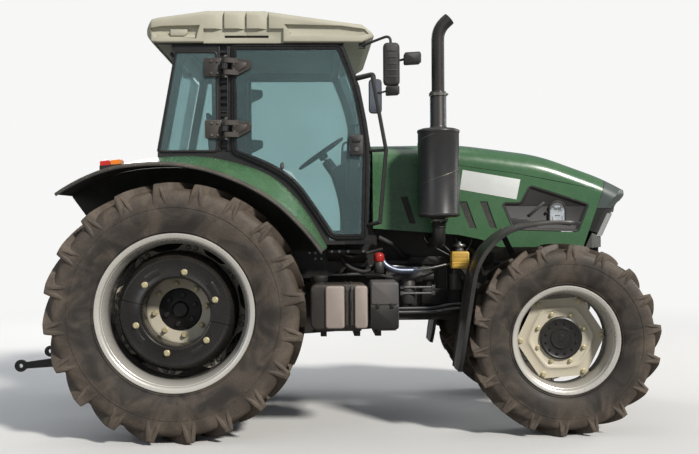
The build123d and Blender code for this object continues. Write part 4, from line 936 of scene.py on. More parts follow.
nose_grey = finish("nose_grey", srgb(72, 84, 82), 0.42, dust=0.18, grain=400, relief=0.15)
nose_black = finish("nose_black", srgb(22, 24, 22), 0.42, dust=0.12, grain=400, relief=0.2)
strip_silver = finish("strip_silver", srgb(202, 206, 206), 0.28, dust=0.12, metal=0.6, coat=0.3)
brow = nose_piece("nose_brow", 1.497, 2.0, nose_grey)
lower = nose_piece("nose_grille", 1.0, 1.495, nose_black, inset=0.003)
openings = []
for y_sign in (-1.0, 1.0):
    openings.append(closed([lamp_loop(y_sign, 0.0, 0.08), lamp_loop(y_sign, 0.0, -0.05)]))
for z in (1.318, 1.350, 1.382, 1.414, 1.446):
    openings.append(prism(corners(2.90, 3.2, z - 0.008, z + 0.008),
                          -0.225 if z < 1.43 else -0.10, 0.225 if z < 1.43 else 0.10))
for opening in openings:
    cut(lower, [opening])
for opening in openings[:2]:
    cut(brow, [opening])
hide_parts("grille")
screen = np.concatenate([nose_sheet(np.linspace(1.30, 1.46, 8), np.linspace(-0.27, 0.27, 15), 0.024),
                         nose_sheet(np.linspace(1.30, 1.46, 8), np.linspace(0.27, -0.27, 15), 0.028)], axis=1)
make_piece("grille_screen", [closed(screen)], mesh_black, "hood")
for side in ("right", "left"):
    y_sign = sides[side]
    strip_rows = np.linspace(1.296, 1.458, 24)
    edges = np.array([(0.236, 0.004), (0.237, -0.004), (0.243, -0.0065), (0.285, -0.0068), (0.325, -0.006),
                      (0.332, -0.003), (0.334, 0.004)])
    strip = np.stack([nose_x(edges[:, 0], z + 0 * edges[:, 0], edges[:, 1]) for z in strip_rows])
    z_row, y_row = np.meshgrid(strip_rows, edges[:, 0], indexing="ij")
    make_piece(f"corner_strip_{side}", [closed(from_axle(strip, y_sign * y_row, z_row))],
               strip_silver, "hood", sharp=50)
    lens = [lamp_loop(y_sign, by, inset) for by, inset in ((0.0008, 0.009), (0.0008, 0.004), (0.004, 0.0025))]
    lens_piece = make_piece(f"front_lamp_lens_{side}", [closed(lens)], lens_clear, "hood")
    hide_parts(f"headlamp_{side}")
    loops = [lamp_loop(y_sign, by, inset)
             for by, inset in ((0.0005, 0.0095), (0.003, 0.05), (0.012, 0.052))]
    housing = [skin(np.stack(loops), wrap_columns=True), closed([loops[-1], loops[-1] + [-0.004, 0, 0]])]
    make_piece(f"front_lamp_housing_{side}", housing, nose_black, "hood")
    bowls = []
    for y in (0.161, 0.250):
        turn = whole_turn(24)[None, :]
        radius, set_back = (np.array(v)[:, None] for v in zip((0.039, 0.014), (0.036, 0.0125), (0.030, 0.026),
                                                              (0.020, 0.038), (0.008, 0.043), (0.006, 0.030),
                                                              (0.0045, 0.027)))
        middle_x = float(nose_x(np.array(y), np.array(1.505)))
        bowls.append(closed(from_axle(middle_x - set_back, y_sign * (y + radius * np.cos(turn)),
                                      1.505 + radius * np.sin(turn))))
    make_piece(f"front_lamp_bowls_{side}", bowls, chrome, "hood")
cowl_heights = np.linspace(1.214, 1.33, 5)
across = 0.391 * np.sin(np.linspace(-np.pi / 2, np.pi / 2, 41))
plan_x = 3.000 - 0.14 * np.abs(across / 0.391) ** 2.8
rows = [np.vstack([from_axle(plan_x, across, z),
                   from_axle(np.array([2.80, 2.80]), np.array([0.391, -0.391]), z)]) for z in cowl_heights]
cowl_grey = finish("cowl_grey", srgb(70, 72, 70), 0.45, dust=0.3, grain=400, relief=0.2)
cowl = make_piece("front_cowl_panel", [closed(rows)], cowl_grey, "chassis")
cut(cowl, [prism([(2.812, 1.216), (2.862, 1.3205), (3.03, 1.277), (3.03, 1.216)], -0.6, 0.6)], "INTERSECT")
post = plan_block(corners(2.86, 2.97, -0.165, 0.165), 1.105, 1.23)
make_piece("front_cowl_post", [post], nose_black, "chassis")
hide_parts("front_cowl")


# ---- Rear fenders ----
# Green sheet steel arched over each wheel from the cab's wall, its outer edge rolled down into a black
# rubber skirt held by a row of screws. A two-colour lamp in a black shell stands on the crest.
def circle_through(a, b, c):
    """Centre and radius of the circle through three points, and the angles of the points seen from the
    centre."""
    (ax, az), (bx, bz), (cx, cz) = a, b, c
    grid = 2 * np.array([[bx - ax, bz - az], [cx - ax, cz - az]])
    middle = np.linalg.solve(grid, [bx**2 - ax**2 + bz**2 - az**2, cx**2 - ax**2 + cz**2 - az**2])
    angles = [np.arctan2(z - middle[1], x - middle[0]) for x, z in (a, b, c)]
    return middle, float(np.hypot(ax - middle[0], az - middle[1])), angles


def crest_point(shares):
    """Points along the fender's crest from its back end (0) to its foot (1), and its outward normals."""
    back = circle_through((-0.750, 1.608), (-0.105, 1.818), (0.457, 1.688))
    fore = circle_through((0.457, 1.688), (0.735, 1.478), (0.949, 1.228))
    places, normals = [], []
    split = 0.64
    for share in shares:
        if share <= split:
            (middle, radius, (start, _, end)), local = back, share / split
        else:
            (middle, radius, (start, _, end)), local = fore, (share - split) / (1 - split)
        angle = start + (end - start) * local
        places.append(middle + radius * np.array([np.cos(angle), np.sin(angle)]))
        normals.append([np.cos(angle), np.sin(angle)])
    places, normals = np.array(places), np.array(normals)
    smooth = np.copy(normals)
    for _ in range(3):
        smooth[1:-1] = (smooth[:-2] + smooth[1:-1] + smooth[2:]) / 3
    return places, smooth / np.linalg.norm(smooth, axis=1)[:, None]


def along(places, normals, section, y_sign, rise=0.0):
    """A closed section of (distance across, height over the line, share of the rise) carried along a line."""
    section = np.array(section)
    lift = section[:, 1][None, :] + section[:, 2][None, :] * np.broadcast_to(rise, len(places))[:, None]
    x = places[:, 0][:, None] + normals[:, 0][:, None] * lift
    z = places[:, 1][:, None] + normals[:, 1][:, None] * lift
    return closed(from_axle(x, y_sign * section[:, 0][None, :], z))


def bolt_head(place, direction, radius, height, flats=6):
    """A screw head: a low prism with a bevelled top, standing on a place along a direction."""
    axis = np.array(direction, float) / np.linalg.norm(direction)
    aside = np.cross(axis, [0.3, 0.5, 0.81])
    aside = aside / np.linalg.norm(aside)
    other = np.cross(axis, aside)
    turn = whole_turn(flats)
    circle = np.cos(turn)[:, None] * aside + np.sin(turn)[:, None] * other
    rows = [np.array(place) + radius * r * circle + axis * height * h
            for r, h in ((1.0, -0.4), (1.0, 0.75), (0.85, 1.0))]
    return closed(rows)


fender_rubber = finish("fender_rubber", srgb(34, 35, 36), 0.55, dust=0.4, grain=300, relief=0.2)
lamp_red = finish("lamp_red", srgb(196, 40, 26), 0.15, dust=0.1, relief=0.0, coat=0.6)
lamp_amber = finish("lamp_amber", srgb(236, 128, 30), 0.15, dust=0.1, relief=0.0, coat=0.6)
# near-black painted shade for the inner wall and underside of each fender, which lie in shade under the sheet
fender_shade_black = finish("fender_painted_shade", srgb(20, 26, 22), 0.8, dust=0.3, grain=120, relief=0.6, depth=0.001)
crest_shares = np.concatenate([np.linspace(0.0, 0.64, 40), np.linspace(0.655, 1.0, 22)])
crest_rise = smooth_table(crest_shares, [0.0, 0.18, 0.375, 0.5, 0.69, 0.81, 0.94, 1.0],
                          [0.010, 0.014, 0.050, 0.080, 0.122, 0.097, 0.050, 0.030], 0.05)
crest_drop = smooth_table(crest_shares, [0.0, 0.2, 0.3, 0.62, 0.75, 1.0],
                          [0.0, 0.0, -0.014, -0.022, 0.0, 0.0], 0.05)
crest_places, crest_normals = crest_point(crest_shares)
crest_places = crest_places + crest_normals * crest_drop[:, None]
for side in ("right", "left"):
    y_sign = sides[side]
    slope = np.linspace(0.0, 1.0, 15)[1:]
    bulge = np.cos(np.pi / 2 * slope) ** 1.3
    sheet = [(0.5625, -0.004, 0.0), (0.781, -0.004, 0.0), (0.7845, -0.002, 0.97), (0.790, 0.0, 1.0)]
    sheet += [(0.790 + 0.246 * s, 0.0, b) for s, b in zip(slope, bulge)]
    sheet += [(1.046, -0.003, 0.0), (1.050, -0.010, 0.0), (1.046, -0.012, 0.0), (1.036, -0.008, 0.0),
              (0.90, -0.009, 0.0), (0.5625, -0.009, 0.0)]
    fender = make_piece(f"fender_sheet_{side}", [along(crest_places, crest_normals, sheet,
                                                       y_sign, crest_rise)], paint_green,
                        "chassis", sharp=40)
    under = [(0.5665, -0.0095, 0.0), (1.034, -0.0095, 0.0), (1.034, -0.0115, 0.0), (0.5665, -0.0115, 0.0)]
    wall_line = np.vstack([crest_places + [0.0, -0.012], [(-0.139, 1.228), (-0.560, 1.330)]])
    # the wall and the underside carry the near-black painted shade
    wall = [prism(wall_line, y_sign * 0.5605, y_sign * 0.5655),
            along(crest_places, crest_normals, under, y_sign)]
    make_piece(f"fender_wall_{side}", wall, fender_shade_black, "chassis", sharp=40)
    skirt = [(1.040, 0.0015, 0.0), (1.050, 0.0, 0.0), (1.062, -0.004, 0.0), (1.069, -0.011, 0.0),
             (1.071, -0.020, 0.0), (1.069, -0.025, 0.0), (1.065, -0.024, 0.0), (1.061, -0.013, 0.0),
             (1.050, -0.0105, 0.0), (1.040, -0.004, 0.0)]
    make_piece(f"fender_skirt_{side}", [along(crest_places, crest_normals, skirt, y_sign)], fender_rubber,
               "chassis", sharp=40)
    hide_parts(f"fender_rear_{side}")
    screws = []
    for k in range(2, len(crest_shares), 5):
        place = crest_places[k] - 0.016 * crest_normals[k]
        screws.append(bolt_head(from_axle(place[0], y_sign * 1.0695, place[1]), (0.0, y_sign, 0.3),
                                0.005, 0.003))
    make_piece(f"fender_screws_{side}", screws, bolt_steel, "chassis")
    shell, lenses = [], {lamp_red: [], lamp_amber: []}
    shell.append(prism([(-0.476, 1.742), (-0.340, 1.780), (-0.340, 1.795), (-0.476, 1.783)], y_sign * 0.882,
                       y_sign * 0.998))
    for x0, x1, colour in ((-0.474, -0.410, lamp_red), (-0.406, -0.342, lamp_amber)):
        rows = []
        for lift, by in ((0.0, 0.0), (0.022, 0.0), (0.029, 0.003), (0.032, 0.009)):
            x = np.array([x0 + by, x1 - by, x1 - by, x0 + by])
            y = y_sign * np.array([0.886 + by, 0.886 + by, 0.994 - by, 0.994 - by])
            rows.append(from_axle(x, y, 1.783 + 0.088 * (x + 0.476) + lift))
        lenses[colour].append(closed(rows))
    make_piece(f"tail_lamp_shell_{side}", shell, rubber_black, "chassis")
    make_piece(f"tail_lamp_red_{side}", lenses[lamp_red], lamp_red, "chassis")
    make_piece(f"tail_lamp_amber_{side}", lenses[lamp_amber], lamp_amber, "chassis")


# ---- Front fenders ----
# Black moulded mudguards with a rolled lip at both edges and a shallow crown, each on a flat stay that is
# bolted to the steering knuckle and turns with it.
def arc_through(a, b, c, count):
    """Points on the circle through three points, from the first to the last."""
    middle, radius, angles = circle_through(a, b, c)
    turn = np.unwrap(angles)
    angle = np.linspace(turn[0], turn[2], count)
    return middle + radius * np.stack([np.cos(angle), np.sin(angle)], axis=1)


def line_normals(line, flip=1.0):
    """Normals of an open line of points, turned a quarter from its direction."""
    ahead = np.gradient(line, axis=0)
    normals = flip * np.stack([-ahead[:, 1], ahead[:, 0]], axis=1)
    return normals / np.linalg.norm(normals, axis=1)[:, None]


guard_black = finish("guard_black", srgb(30, 32, 35), 0.36, dust=0.3, grain=400, relief=0.12)
guard_line = np.vstack([arc_through((0.108, 0.768), (-0.132, 0.776), (-0.362, 0.728), 16)[:-1],
                        arc_through((-0.362, 0.728), (-0.522, 0.596), (-0.608, 0.410), 18)[:-1],
                        np.linspace((-0.608, 0.410), (-0.706, -0.198), 16)]) + [wheelbase, 0.628]
for _ in range(2):
    guard_line[1:-1] = (guard_line[:-2] + 2 * guard_line[1:-1] + guard_line[2:]) / 4
guard_normals = line_normals(guard_line, -1.0)
guard_section = [(0.990, -0.022), (0.991, -0.006), (0.987, 0.003), (0.979, 0.005), (0.971, 0.002),
                 (0.962, -0.003), (0.93, -0.001), (0.87, 0.003), (0.815, 0.004), (0.76, 0.003),
                 (0.70, -0.001), (0.668, -0.003), (0.659, 0.002), (0.651, 0.005), (0.643, 0.003),
                 (0.639, -0.006), (0.640, -0.022), (0.644, -0.022), (0.646, -0.006), (0.668, -0.007),
                 (0.70, -0.005), (0.815, 0.000), (0.93, -0.005), (0.962, -0.007), (0.982, -0.006),
                 (0.986, -0.022)]
corner_share = np.minimum(np.arange(len(guard_line)), np.arange(len(guard_line))[::-1]) / 3.0
narrowing = 1.0 - 0.22 * np.clip(1 - corner_share, 0, 1) ** 2
for side in ("right", "left"):
    y_sign = sides[side]
    body = f"knuckle_{side}"
    points, faces = along(guard_line, guard_normals, [(y, lift, 0.0) for y, lift in guard_section], y_sign)
    middle = y_sign * 0.815
    points[:, 1] = middle + (points[:, 1] - middle) * np.repeat(narrowing, len(guard_section))
    guard = make_piece(f"guard_{side}", [(points, faces)], guard_black, body, sharp=45)
    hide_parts(f"fender_front_{side}")
    stays = [prism(np.array(outline) + [wheelbase, 0.628], y_sign * y0, y_sign * y1) for outline, y0, y1 in (
        (((-0.062, 0.142), (-0.340, 0.716), (-0.380, 0.712), (-0.104, 0.142)), 0.602, 0.616),
        (((-0.062, 0.112), (-0.062, 0.160), (-0.600, 0.398), (-0.616, 0.362)), 0.602, 0.616),
        (((-0.140, 0.078), (-0.040, 0.078), (-0.040, 0.146), (-0.140, 0.146)), 0.602, 0.616),
        (((-0.385, 0.700), (-0.338, 0.704), (-0.338, 0.718), (-0.385, 0.712)), 0.602, 0.66),
        (((-0.612, 0.362), (-0.596, 0.362), (-0.596, 0.398), (-0.606, 0.398)), 0.602, 0.66),
        (((-0.140, 0.1063), (-0.050, 0.1063), (-0.050, 0.1303), (-0.140, 0.1303)), 0.602, 0.72),
        (((-0.060, 0.1063), (0.050, 0.1063), (0.050, 0.1303), (-0.060, 0.1303)), 0.63, 0.74))]
    make_piece(f"guard_stays_{side}", stays, rubber_black, body, sharp=40)
    bolts = [bolt_head((rear_axle_x + wheelbase + x, y_sign * 0.6165, 0.628 + z), (0, y_sign, 0),
                       0.012, 0.008) for x, z in ((-0.12, 0.112), (-0.06, 0.112), (-0.342, 0.68))]
    bolts += [bolt_head((rear_axle_x + wheelbase + x, y_sign * 0.686, 0.628 + 0.1303), (0, 0, 1),
                        0.013, 0.009) for x in (-0.03, 0.02)]
    bolts += [bolt_head((rear_axle_x + wheelbase - 0.362, y_sign * y, 0.628 + 0.731),
                        (-0.25, 0, 0.97), 0.008, 0.004) for y in (0.63, 0.65)]
    make_piece(f"guard_bolts_{side}", bolts, bolt_steel, body)


# ---- Roof ----
# A moulded beige plastic shell over the cab: crowned, with a drip lip all round, a pleated block in the
# middle of each side with an air slot under it, and a hollow with a sloping shelf at each end of the sides.
def bevelled(piece, width, segments=2, angle=35.0):
    """Rounds the sharp edges of a finished piece and sets its shading again."""
    change = piece.modifiers.new("edge", "BEVEL")
    change.width, change.segments, change.limit_method = width, segments, "ANGLE"
    change.angle_limit, change.use_clamp_overlap = np.radians(angle), True
    bpy.context.view_layer.update()
    mesh = bpy.data.meshes.new_from_object(piece.evaluated_get(bpy.context.evaluated_depsgraph_get()))
    piece.modifiers.clear()
    piece.data = mesh
    mesh.shade_smooth()
    mesh.set_sharp_from_angle(angle=np.radians(28.0))


def roof_rows():
    """Sections of the roof's outer form from back to front: flat foot, upright side, round shoulder,
    crown."""
    x = np.array([-0.209, -0.203, -0.190, -0.170, -0.12, -0.05, 0.05, 0.18, 0.30, 0.44, 0.568, 0.70,
                  0.85, 1.0, 1.12, 1.219, 1.255, 1.280, 1.294, 1.300])
    pulled = np.interp(x, [-0.209, -0.203, -0.190, -0.170, 1.255, 1.280, 1.294, 1.300],
                       [0.030, 0.014, 0.004, 0.0, 0.0, 0.004, 0.014, 0.030])
    table = np.array([(-0.209, 0.760, 2.655, 2.723, 2.775), (-0.165, 0.800, 2.600, 2.768, 2.830),
                      (0.180, 0.812, 2.600, 2.812, 2.905), (0.568, 0.812, 2.600, 2.808, 2.905),
                      (1.219, 0.806, 2.600, 2.725, 2.800), (1.300, 0.780, 2.640, 2.668, 2.720)])
    half, low, edge, crest = (np.interp(x, table[:, 0], table[:, k]) for k in range(1, 5))
    rows = []
    for k in range(len(x)):
        h, foot = half[k] - pulled[k], low[k] + 0.25 * pulled[k]
        top, high = edge[k] - 0.6 * pulled[k], crest[k] - pulled[k]
        r = min(0.034, 0.45 * (top - foot))
        bend = np.radians(np.linspace(0, 68, 6))
        side_y = np.concatenate([[0.0, h - 0.03, h - 0.008, h], h - r + r * np.cos(bend)])
        side_z = np.concatenate([[foot, foot, foot + 0.002, foot + 0.010], top - r + r * np.sin(bend)])
        across = np.linspace(side_y[-1], 0.0, 14)[1:]
        side_y = np.concatenate([side_y, across])
        side_z = np.concatenate([side_z, side_z[9] + (high - side_z[9]) * (1 - (across / side_y[9]) ** 2)])
        y = np.concatenate([-side_y, side_y[-2:0:-1]])
        z = np.concatenate([side_z, side_z[-2:0:-1]])
        rows.append(from_axle(x[k], y, z))
    return np.stack(rows)


def bar_along(x0, x1, section, y_sign=1.0):
    """A closed bar along the machine: a section of (y, z) carried from x0 to x1."""
    section = np.array(section)
    return closed([from_axle(x, y_sign * section[:, 0], section[:, 1]) for x in (x0, x1)])


roof_beige = finish("roof_beige", srgb(182, 179, 160), 0.55, dust=0.16, grain=300, relief=0.12)
shell = make_piece("roof_shell", [closed(roof_rows())], roof_beige, "chassis", sharp=40)
tools = [bar_along(-0.160, 1.40, corners(-0.783, 0.783, 2.58, 2.6123))]
for y_sign in (-1.0, 1.0):
    tools.append(bar_along(0.172, 0.700, [(0.84, 2.697), (0.84, 2.58), (0.7845, 2.58), (0.7845, 2.612),
                                          (0.789, 2.690)], y_sign))
    tools.append(prism([(0.704, 2.722), (0.742, 2.674), (0.752, 2.650), (1.205, 2.642), (1.266, 2.660),
                        (1.238, 2.690), (1.080, 2.712)], y_sign * 0.7835, y_sign * 0.84))
    tools.append(bar_along(0.742, 1.225, [(0.7835, 2.664), (0.84, 2.664), (0.84, 2.626)], y_sign))
    tools.append(prism([(-0.182, 2.700), (-0.150, 2.640), (0.124, 2.628), (0.150, 2.716), (-0.10, 2.712)],
                       y_sign * 0.768, y_sign * 0.84))
    for x0, x1 in ((0.250, 0.313), (0.400, 0.460), (0.540, 0.606)):
        tools.append(plan_block([(x0 - 0.003, 0.84), (x0 - 0.003, 0.8135), (x1 - 0.004, 0.786), (x1, 0.84)],
                                2.57, 2.95, y_sign))
    tools.append(prism(corners(0.310, 0.600, 2.634, 2.650), y_sign * 0.70, y_sign * 0.86))
for tool in tools:
    cut(shell, [tool])
bevelled(shell, 0.004)
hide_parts("roof")
blocks = []
for y_sign in (-1.0, 1.0):
    blocks.append(prism([(-0.045, 2.648), (0.050, 2.648), (0.066, 2.664), (0.066, 2.690), (-0.045, 2.690)],
                        y_sign * 0.760, y_sign * 0.799))
    blocks.append(bar_along(-0.135, 0.118, [(0.764, 2.664), (0.790, 2.644), (0.790, 2.634),
                                            (0.764, 2.634)], y_sign))
ledges = make_piece("roof_ledges", blocks, roof_beige, "chassis")
bevelled(ledges, 0.004)
slots = [prism(corners(0.306, 0.604, 2.630, 2.654), y_sign * 0.762, y_sign * 0.775)
         for y_sign in (-1.0, 1.0)]
make_piece("roof_slot_backs", slots, rubber_black, "chassis")
gasket = [bar_along(-0.155, 1.10, [(0.7815, 2.601), (0.790, 2.599), (0.796, 2.594), (0.792, 2.590),
                                   (0.7815, 2.594)], y_sign) for y_sign in (-1.0, 1.0)]
make_piece("roof_gasket", gasket, rubber_black, "chassis")


# ---- Cab ----
# Black tubular frame with bonded, blue-green safety glass. Each door is a pane in a pressed black frame
# with a double rubber seal, and swings on two cast hinge arms bolted to the slatted middle pillar.
def corner_curve(before, corner, after, reach, most, steps):
    """A parabola in place of a corner; it starts a reach before it, at most a share of the way to the next
    point."""
    ends = []
    for point in (before, after):
        length = np.linalg.norm(point - corner)
        ends.append(corner + (point - corner) / length * min(reach, most * length))
    t = np.linspace(0, 1, steps)[:, None]
    return (1 - t) ** 2 * ends[0] + 2 * t * (1 - t) * corner + t**2 * ends[1]


def rounded(outline, radii, steps=7):
    """An outline with its corners rounded, each by a curve that starts a given distance before the corner."""
    outline = np.array(outline, float)
    radii = np.broadcast_to(radii, len(outline))
    neighbours = zip(np.roll(outline, 1, axis=0), outline, np.roll(outline, -1, axis=0), radii)
    return np.vstack([corner_curve(*points, 0.48, steps) for points in neighbours])


def rounded_box(x0, x1, low, high, radius, steps=7):
    """A rectangle with four equal rounded corners."""
    return rounded(corners(x0, x1, low, high), radius, steps)


def flat_loops(outline, y_sign, steps):
    """Loops of an outline at the side of the machine, each (pulled in by, distance across)."""
    rows = []
    for by, y in steps:
        loop = shrunk(outline, by) if by else outline
        rows.append(from_axle(loop[:, 0], y_sign * y, loop[:, 1]))
    return np.stack(rows)


def slab(outline, y_sign, steps):
    """A closed form at the side of the machine from the loops of an outline."""
    return closed(flat_loops(outline, y_sign, steps))


def tube(points, radius, segments=12, smooth=0.05):
    """A round bar or hose through points (x from the rear axle, y, z), its corners eased over a reach."""
    points = np.array(points, float)
    path = [points[0]]
    for before, corner, after in zip(points, points[1:], points[2:]):
        path += list(corner_curve(before, corner, after, smooth, 0.45, 7))
    path = np.array(path + [points[-1]])
    ahead = np.gradient(path, axis=0)
    ahead /= np.linalg.norm(ahead, axis=1)[:, None]
    aside = np.cross(ahead[0], [0.31, 0.27, 0.91])
    rows, turn = [], whole_turn(segments)[:, None]
    for place, axis in zip(path, ahead):
        aside = aside - axis * np.dot(aside, axis)
        aside = aside / np.linalg.norm(aside)
        ring_points = place + radius * (np.cos(turn) * aside + np.sin(turn) * np.cross(axis, aside))
        rows.append(ring_points + [rear_axle_x, 0.0, 0.0])
    return closed(rows)


def upright(profile, x, y, segments=40):
    """A form turned about an upright axis at x from the rear axle, from (radius, height) pairs."""
    turn = whole_turn(segments)[None, :]
    radius, z = (np.array(profile)[:, k][:, None] for k in (0, 1))
    return closed(from_axle(x + radius * np.cos(turn), y + radius * np.sin(turn), z + 0 * turn))


def glass_finish(name, tint, film, film_share):
    """Tinted safety glass under a thin even film of dust that glows a little in the light."""
    material, n, links, out = new_material(name)
    shader = n.new("ShaderNodeBsdfPrincipled")
    shader.inputs["Transmission Weight"].default_value = 1.0
    shader.inputs["IOR"].default_value = 1.45
    shader.inputs["Roughness"].default_value = 0.0
    shader.inputs["Base Color"].default_value = tint
    dusty = n.new("ShaderNodeBsdfDiffuse")
    dusty.inputs["Color"].default_value = film
    place = n.new("ShaderNodeTexCoord").outputs["Object"]
    patches = noise_node(n, links, place, 1.6, detail=5.0, distort=0.5)
    mix = n.new("ShaderNodeMixShader")
    links.new(ramp_node(n, links, patches, 0.3, 0.7, 0.7 * film_share, 1.3 * film_share), mix.inputs["Fac"])
    links.new(shader.outputs[0], mix.inputs[1])
    links.new(dusty.outputs[0], mix.inputs[2])
    links.new(mix.outputs[0], out.inputs["Surface"])
    return material


glass_tinted = glass_finish("glass_tinted", srgb(194, 218, 218), srgb(150, 178, 182), 0.12)
seal_black = finish("seal_black", srgb(15, 15, 16), 0.5, dust=0.08, grain=300, relief=0.1)
frame_black = finish("frame_black", srgb(21, 21, 23), 0.28, dust=0.10, coat=0.4)
hinge_iron = finish("hinge_iron", srgb(54, 49, 47), 0.48, dust=0.25, grain=110, relief=0.5, depth=0.001)
bright_steel = finish("bright_steel", srgb(140, 141, 143), 0.36, dust=0.2, relief=0.03, metal=0.9)
door_line = rounded([(0.352, 2.588), (0.352, 1.874), (0.722, 1.716), (0.905, 1.450), (1.004, 1.298),
                     (1.238, 1.298), (1.254, 1.909), (1.229, 2.085), (1.184, 2.315), (1.078, 2.588)],
                    [0.03, 0.035, 0.21, 0.12, 0.05, 0.035, 0.12, 0.12, 0.14, 0.04])
quarter_line = rounded([(-0.132, 1.884), (-0.020, 2.500), (-0.012, 2.545), (0.258, 2.545), (0.258, 1.884)],
                       [0.03, 0.02, 0.02, 0.03, 0.03])
hinge_x, hinge_heights = 0.318, (2.440, 2.031)
for side in ("right", "left"):
    y_sign = sides[side]
    body = f"door_{side}"
    rim = flat_loops(door_line, y_sign, ((0.0, 0.782), (0.0, 0.792), (0.003, 0.795), (0.010, 0.795),
                                         (0.0125, 0.790), (0.016, 0.790), (0.018, 0.7965),
                                         (0.024, 0.7975), (0.031, 0.7955), (0.0345, 0.7885),
                                         (0.0345, 0.7875), (0.020, 0.782)))
    door = make_piece(f"door_frame_{side}", [skin(rim, wrap_rows=True, wrap_columns=True)], frame_black, body,
                      sharp=40)
    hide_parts(f"door_{side}")
    inner = flat_loops(door_line, y_sign, ((-0.010, 0.7755), (-0.010, 0.7795), (0.004, 0.7808),
                                           (0.030, 0.7808), (0.040, 0.7755)))
    make_piece(f"door_seal_{side}", [skin(inner, wrap_rows=True, wrap_columns=True)], seal_black, "chassis",
               sharp=40)
    rim = flat_loops(quarter_line, y_sign, ((-0.006, 0.7755), (-0.006, 0.782), (-0.003, 0.7845),
                                            (0.006, 0.7845), (0.011, 0.782), (0.011, 0.7815),
                                            (0.004, 0.7755)))
    make_piece(f"quarter_seal_{side}", [skin(rim, wrap_rows=True, wrap_columns=True)], seal_black, "chassis",
               sharp=40)
    arms, plates, bolts = [], [], []
    for z in hinge_heights:
        casting = rounded([(0.352, z - 0.058), (0.400, z - 0.056), (0.480, z - 0.014), (0.486, z + 0.020),
                           (0.478, z + 0.046), (0.352, z + 0.058)], 0.008, 4)
        arms.append(slab(casting, y_sign, ((0.0, 0.7945), (0.0, 0.806), (0.005, 0.812))))
        web = rounded([(0.356, z - 0.034), (0.385, z - 0.040), (0.452, z - 0.004), (0.456, z + 0.018),
                       (0.450, z + 0.030), (0.356, z + 0.036)], 0.006, 4)
        arms.append(slab(web, y_sign, ((0.0, 0.806), (0.0, 0.817), (0.004, 0.820))))
        for z0, z1 in ((z - 0.055, z - 0.023), (z + 0.023, z + 0.055)):
            arms.append(plan_block([(0.384, 0.795), (0.314, 0.812), (0.314, 0.850), (0.342, 0.852),
                                    (0.402, 0.816)], z0, z1, y_sign))
            arms.append(upright([(0.0157, z0), (0.0163, z0 + 0.002), (0.0163, z1 - 0.002),
                                 (0.0157, z1)], hinge_x, y_sign * 0.832, 24))
        plate = rounded_box(0.176, 0.288, z - 0.061, z + 0.061, 0.010, 4)
        plates.append(slab(plate, y_sign, ((0.0, 0.776), (0.0, 0.798), (0.004, 0.8005))))
        bolts.append(upright([(0.0095, z - 0.072), (0.0095, z - 0.064), (0.007, z - 0.062),
                              (0.007, z + 0.062), (0.011, z + 0.064), (0.011, z + 0.070),
                              (0.008, z + 0.074)], hinge_x, y_sign * 0.832, 20))
        bolts += [bolt_head((rear_axle_x + x, y_sign * 0.8005, z + dz), (0, y_sign, 0), 0.010, 0.008)
                  for x in (0.222, 0.264) for dz in (-0.040, 0.040)]
    make_piece(f"hinge_arms_{side}", arms, hinge_iron, body, sharp=40)
    make_piece(f"hinge_plates_{side}", plates, hinge_iron, "chassis", sharp=40)
    make_piece(f"hinge_bolts_{side}", bolts, bolt_steel, "chassis")
    door_bolts = [bolt_head((rear_axle_x + x, y_sign * 0.820, z + dz), (0, y_sign, 0), 0.009, 0.007)
                  for z in hinge_heights for x, dz in ((0.372, 0.018), (0.372, -0.018))]
    make_piece(f"hinge_arm_bolts_{side}", door_bolts, bolt_steel, body)
    lock_line = rounded_box(1.132, 1.222, 1.852, 1.988, 0.015, 4)
    lock = [slab(lock_line, y_sign, ((0.0, 0.7945), (0.0, 0.820), (0.006, 0.825)))]
    grip = rounded_box(1.148, 1.206, 1.940, 1.975, 0.01, 4)
    lock.append(slab(grip, y_sign, ((0.0, 0.824), (0.0, 0.832), (0.004, 0.835))))
    make_piece(f"door_lock_{side}", lock, plastic_dark, body, sharp=40)
    button = bolt_head((rear_axle_x + 1.177, y_sign * 0.825, 1.892), (0, y_sign, 0), 0.014, 0.006, 24)
    make_piece(f"door_lock_button_{side}", [button], bright_steel, body)
    bar = tube([(1.20, y_sign * 0.782, 2.06), (1.13, y_sign * 0.742, 2.05), (1.11, y_sign * 0.742, 1.60),
                (1.165, y_sign * 0.782, 1.54)], 0.009, smooth=0.04)
    make_piece(f"door_bar_{side}", [bar], seal_black, body)
    rails = []
    for x0, x1 in ((0.262, 0.278), (0.324, 0.342)):
        rail = rounded_box(x0, x1, 1.885, 2.588, 0.006, 3)
        rails.append(slab(rail, y_sign, ((0.0, 0.774), (0.0, 0.779), (0.003, 0.7805))))
    slats = []
    for z in np.linspace(2.125, 2.345, 6):
        step = rounded_box(0.276, 0.326, z - 0.011, z + 0.011, 0.004, 3)
        slats.append(slab(step, y_sign, ((0.0, 0.752), (0.0, 0.772), (0.003, 0.775))))
    make_piece(f"pillar_rails_{side}", rails + slats, frame_black, "chassis", sharp=40)
    sill = rounded_box(1.10, 1.262, 1.262, 1.292, 0.004, 3)
    sill_bar = slab(sill, y_sign, ((0.0, 0.770), (0.0, 0.7765), (0.002, 0.778)))
    make_piece(f"cab_sill_{side}", [sill_bar], frame_black, "chassis")
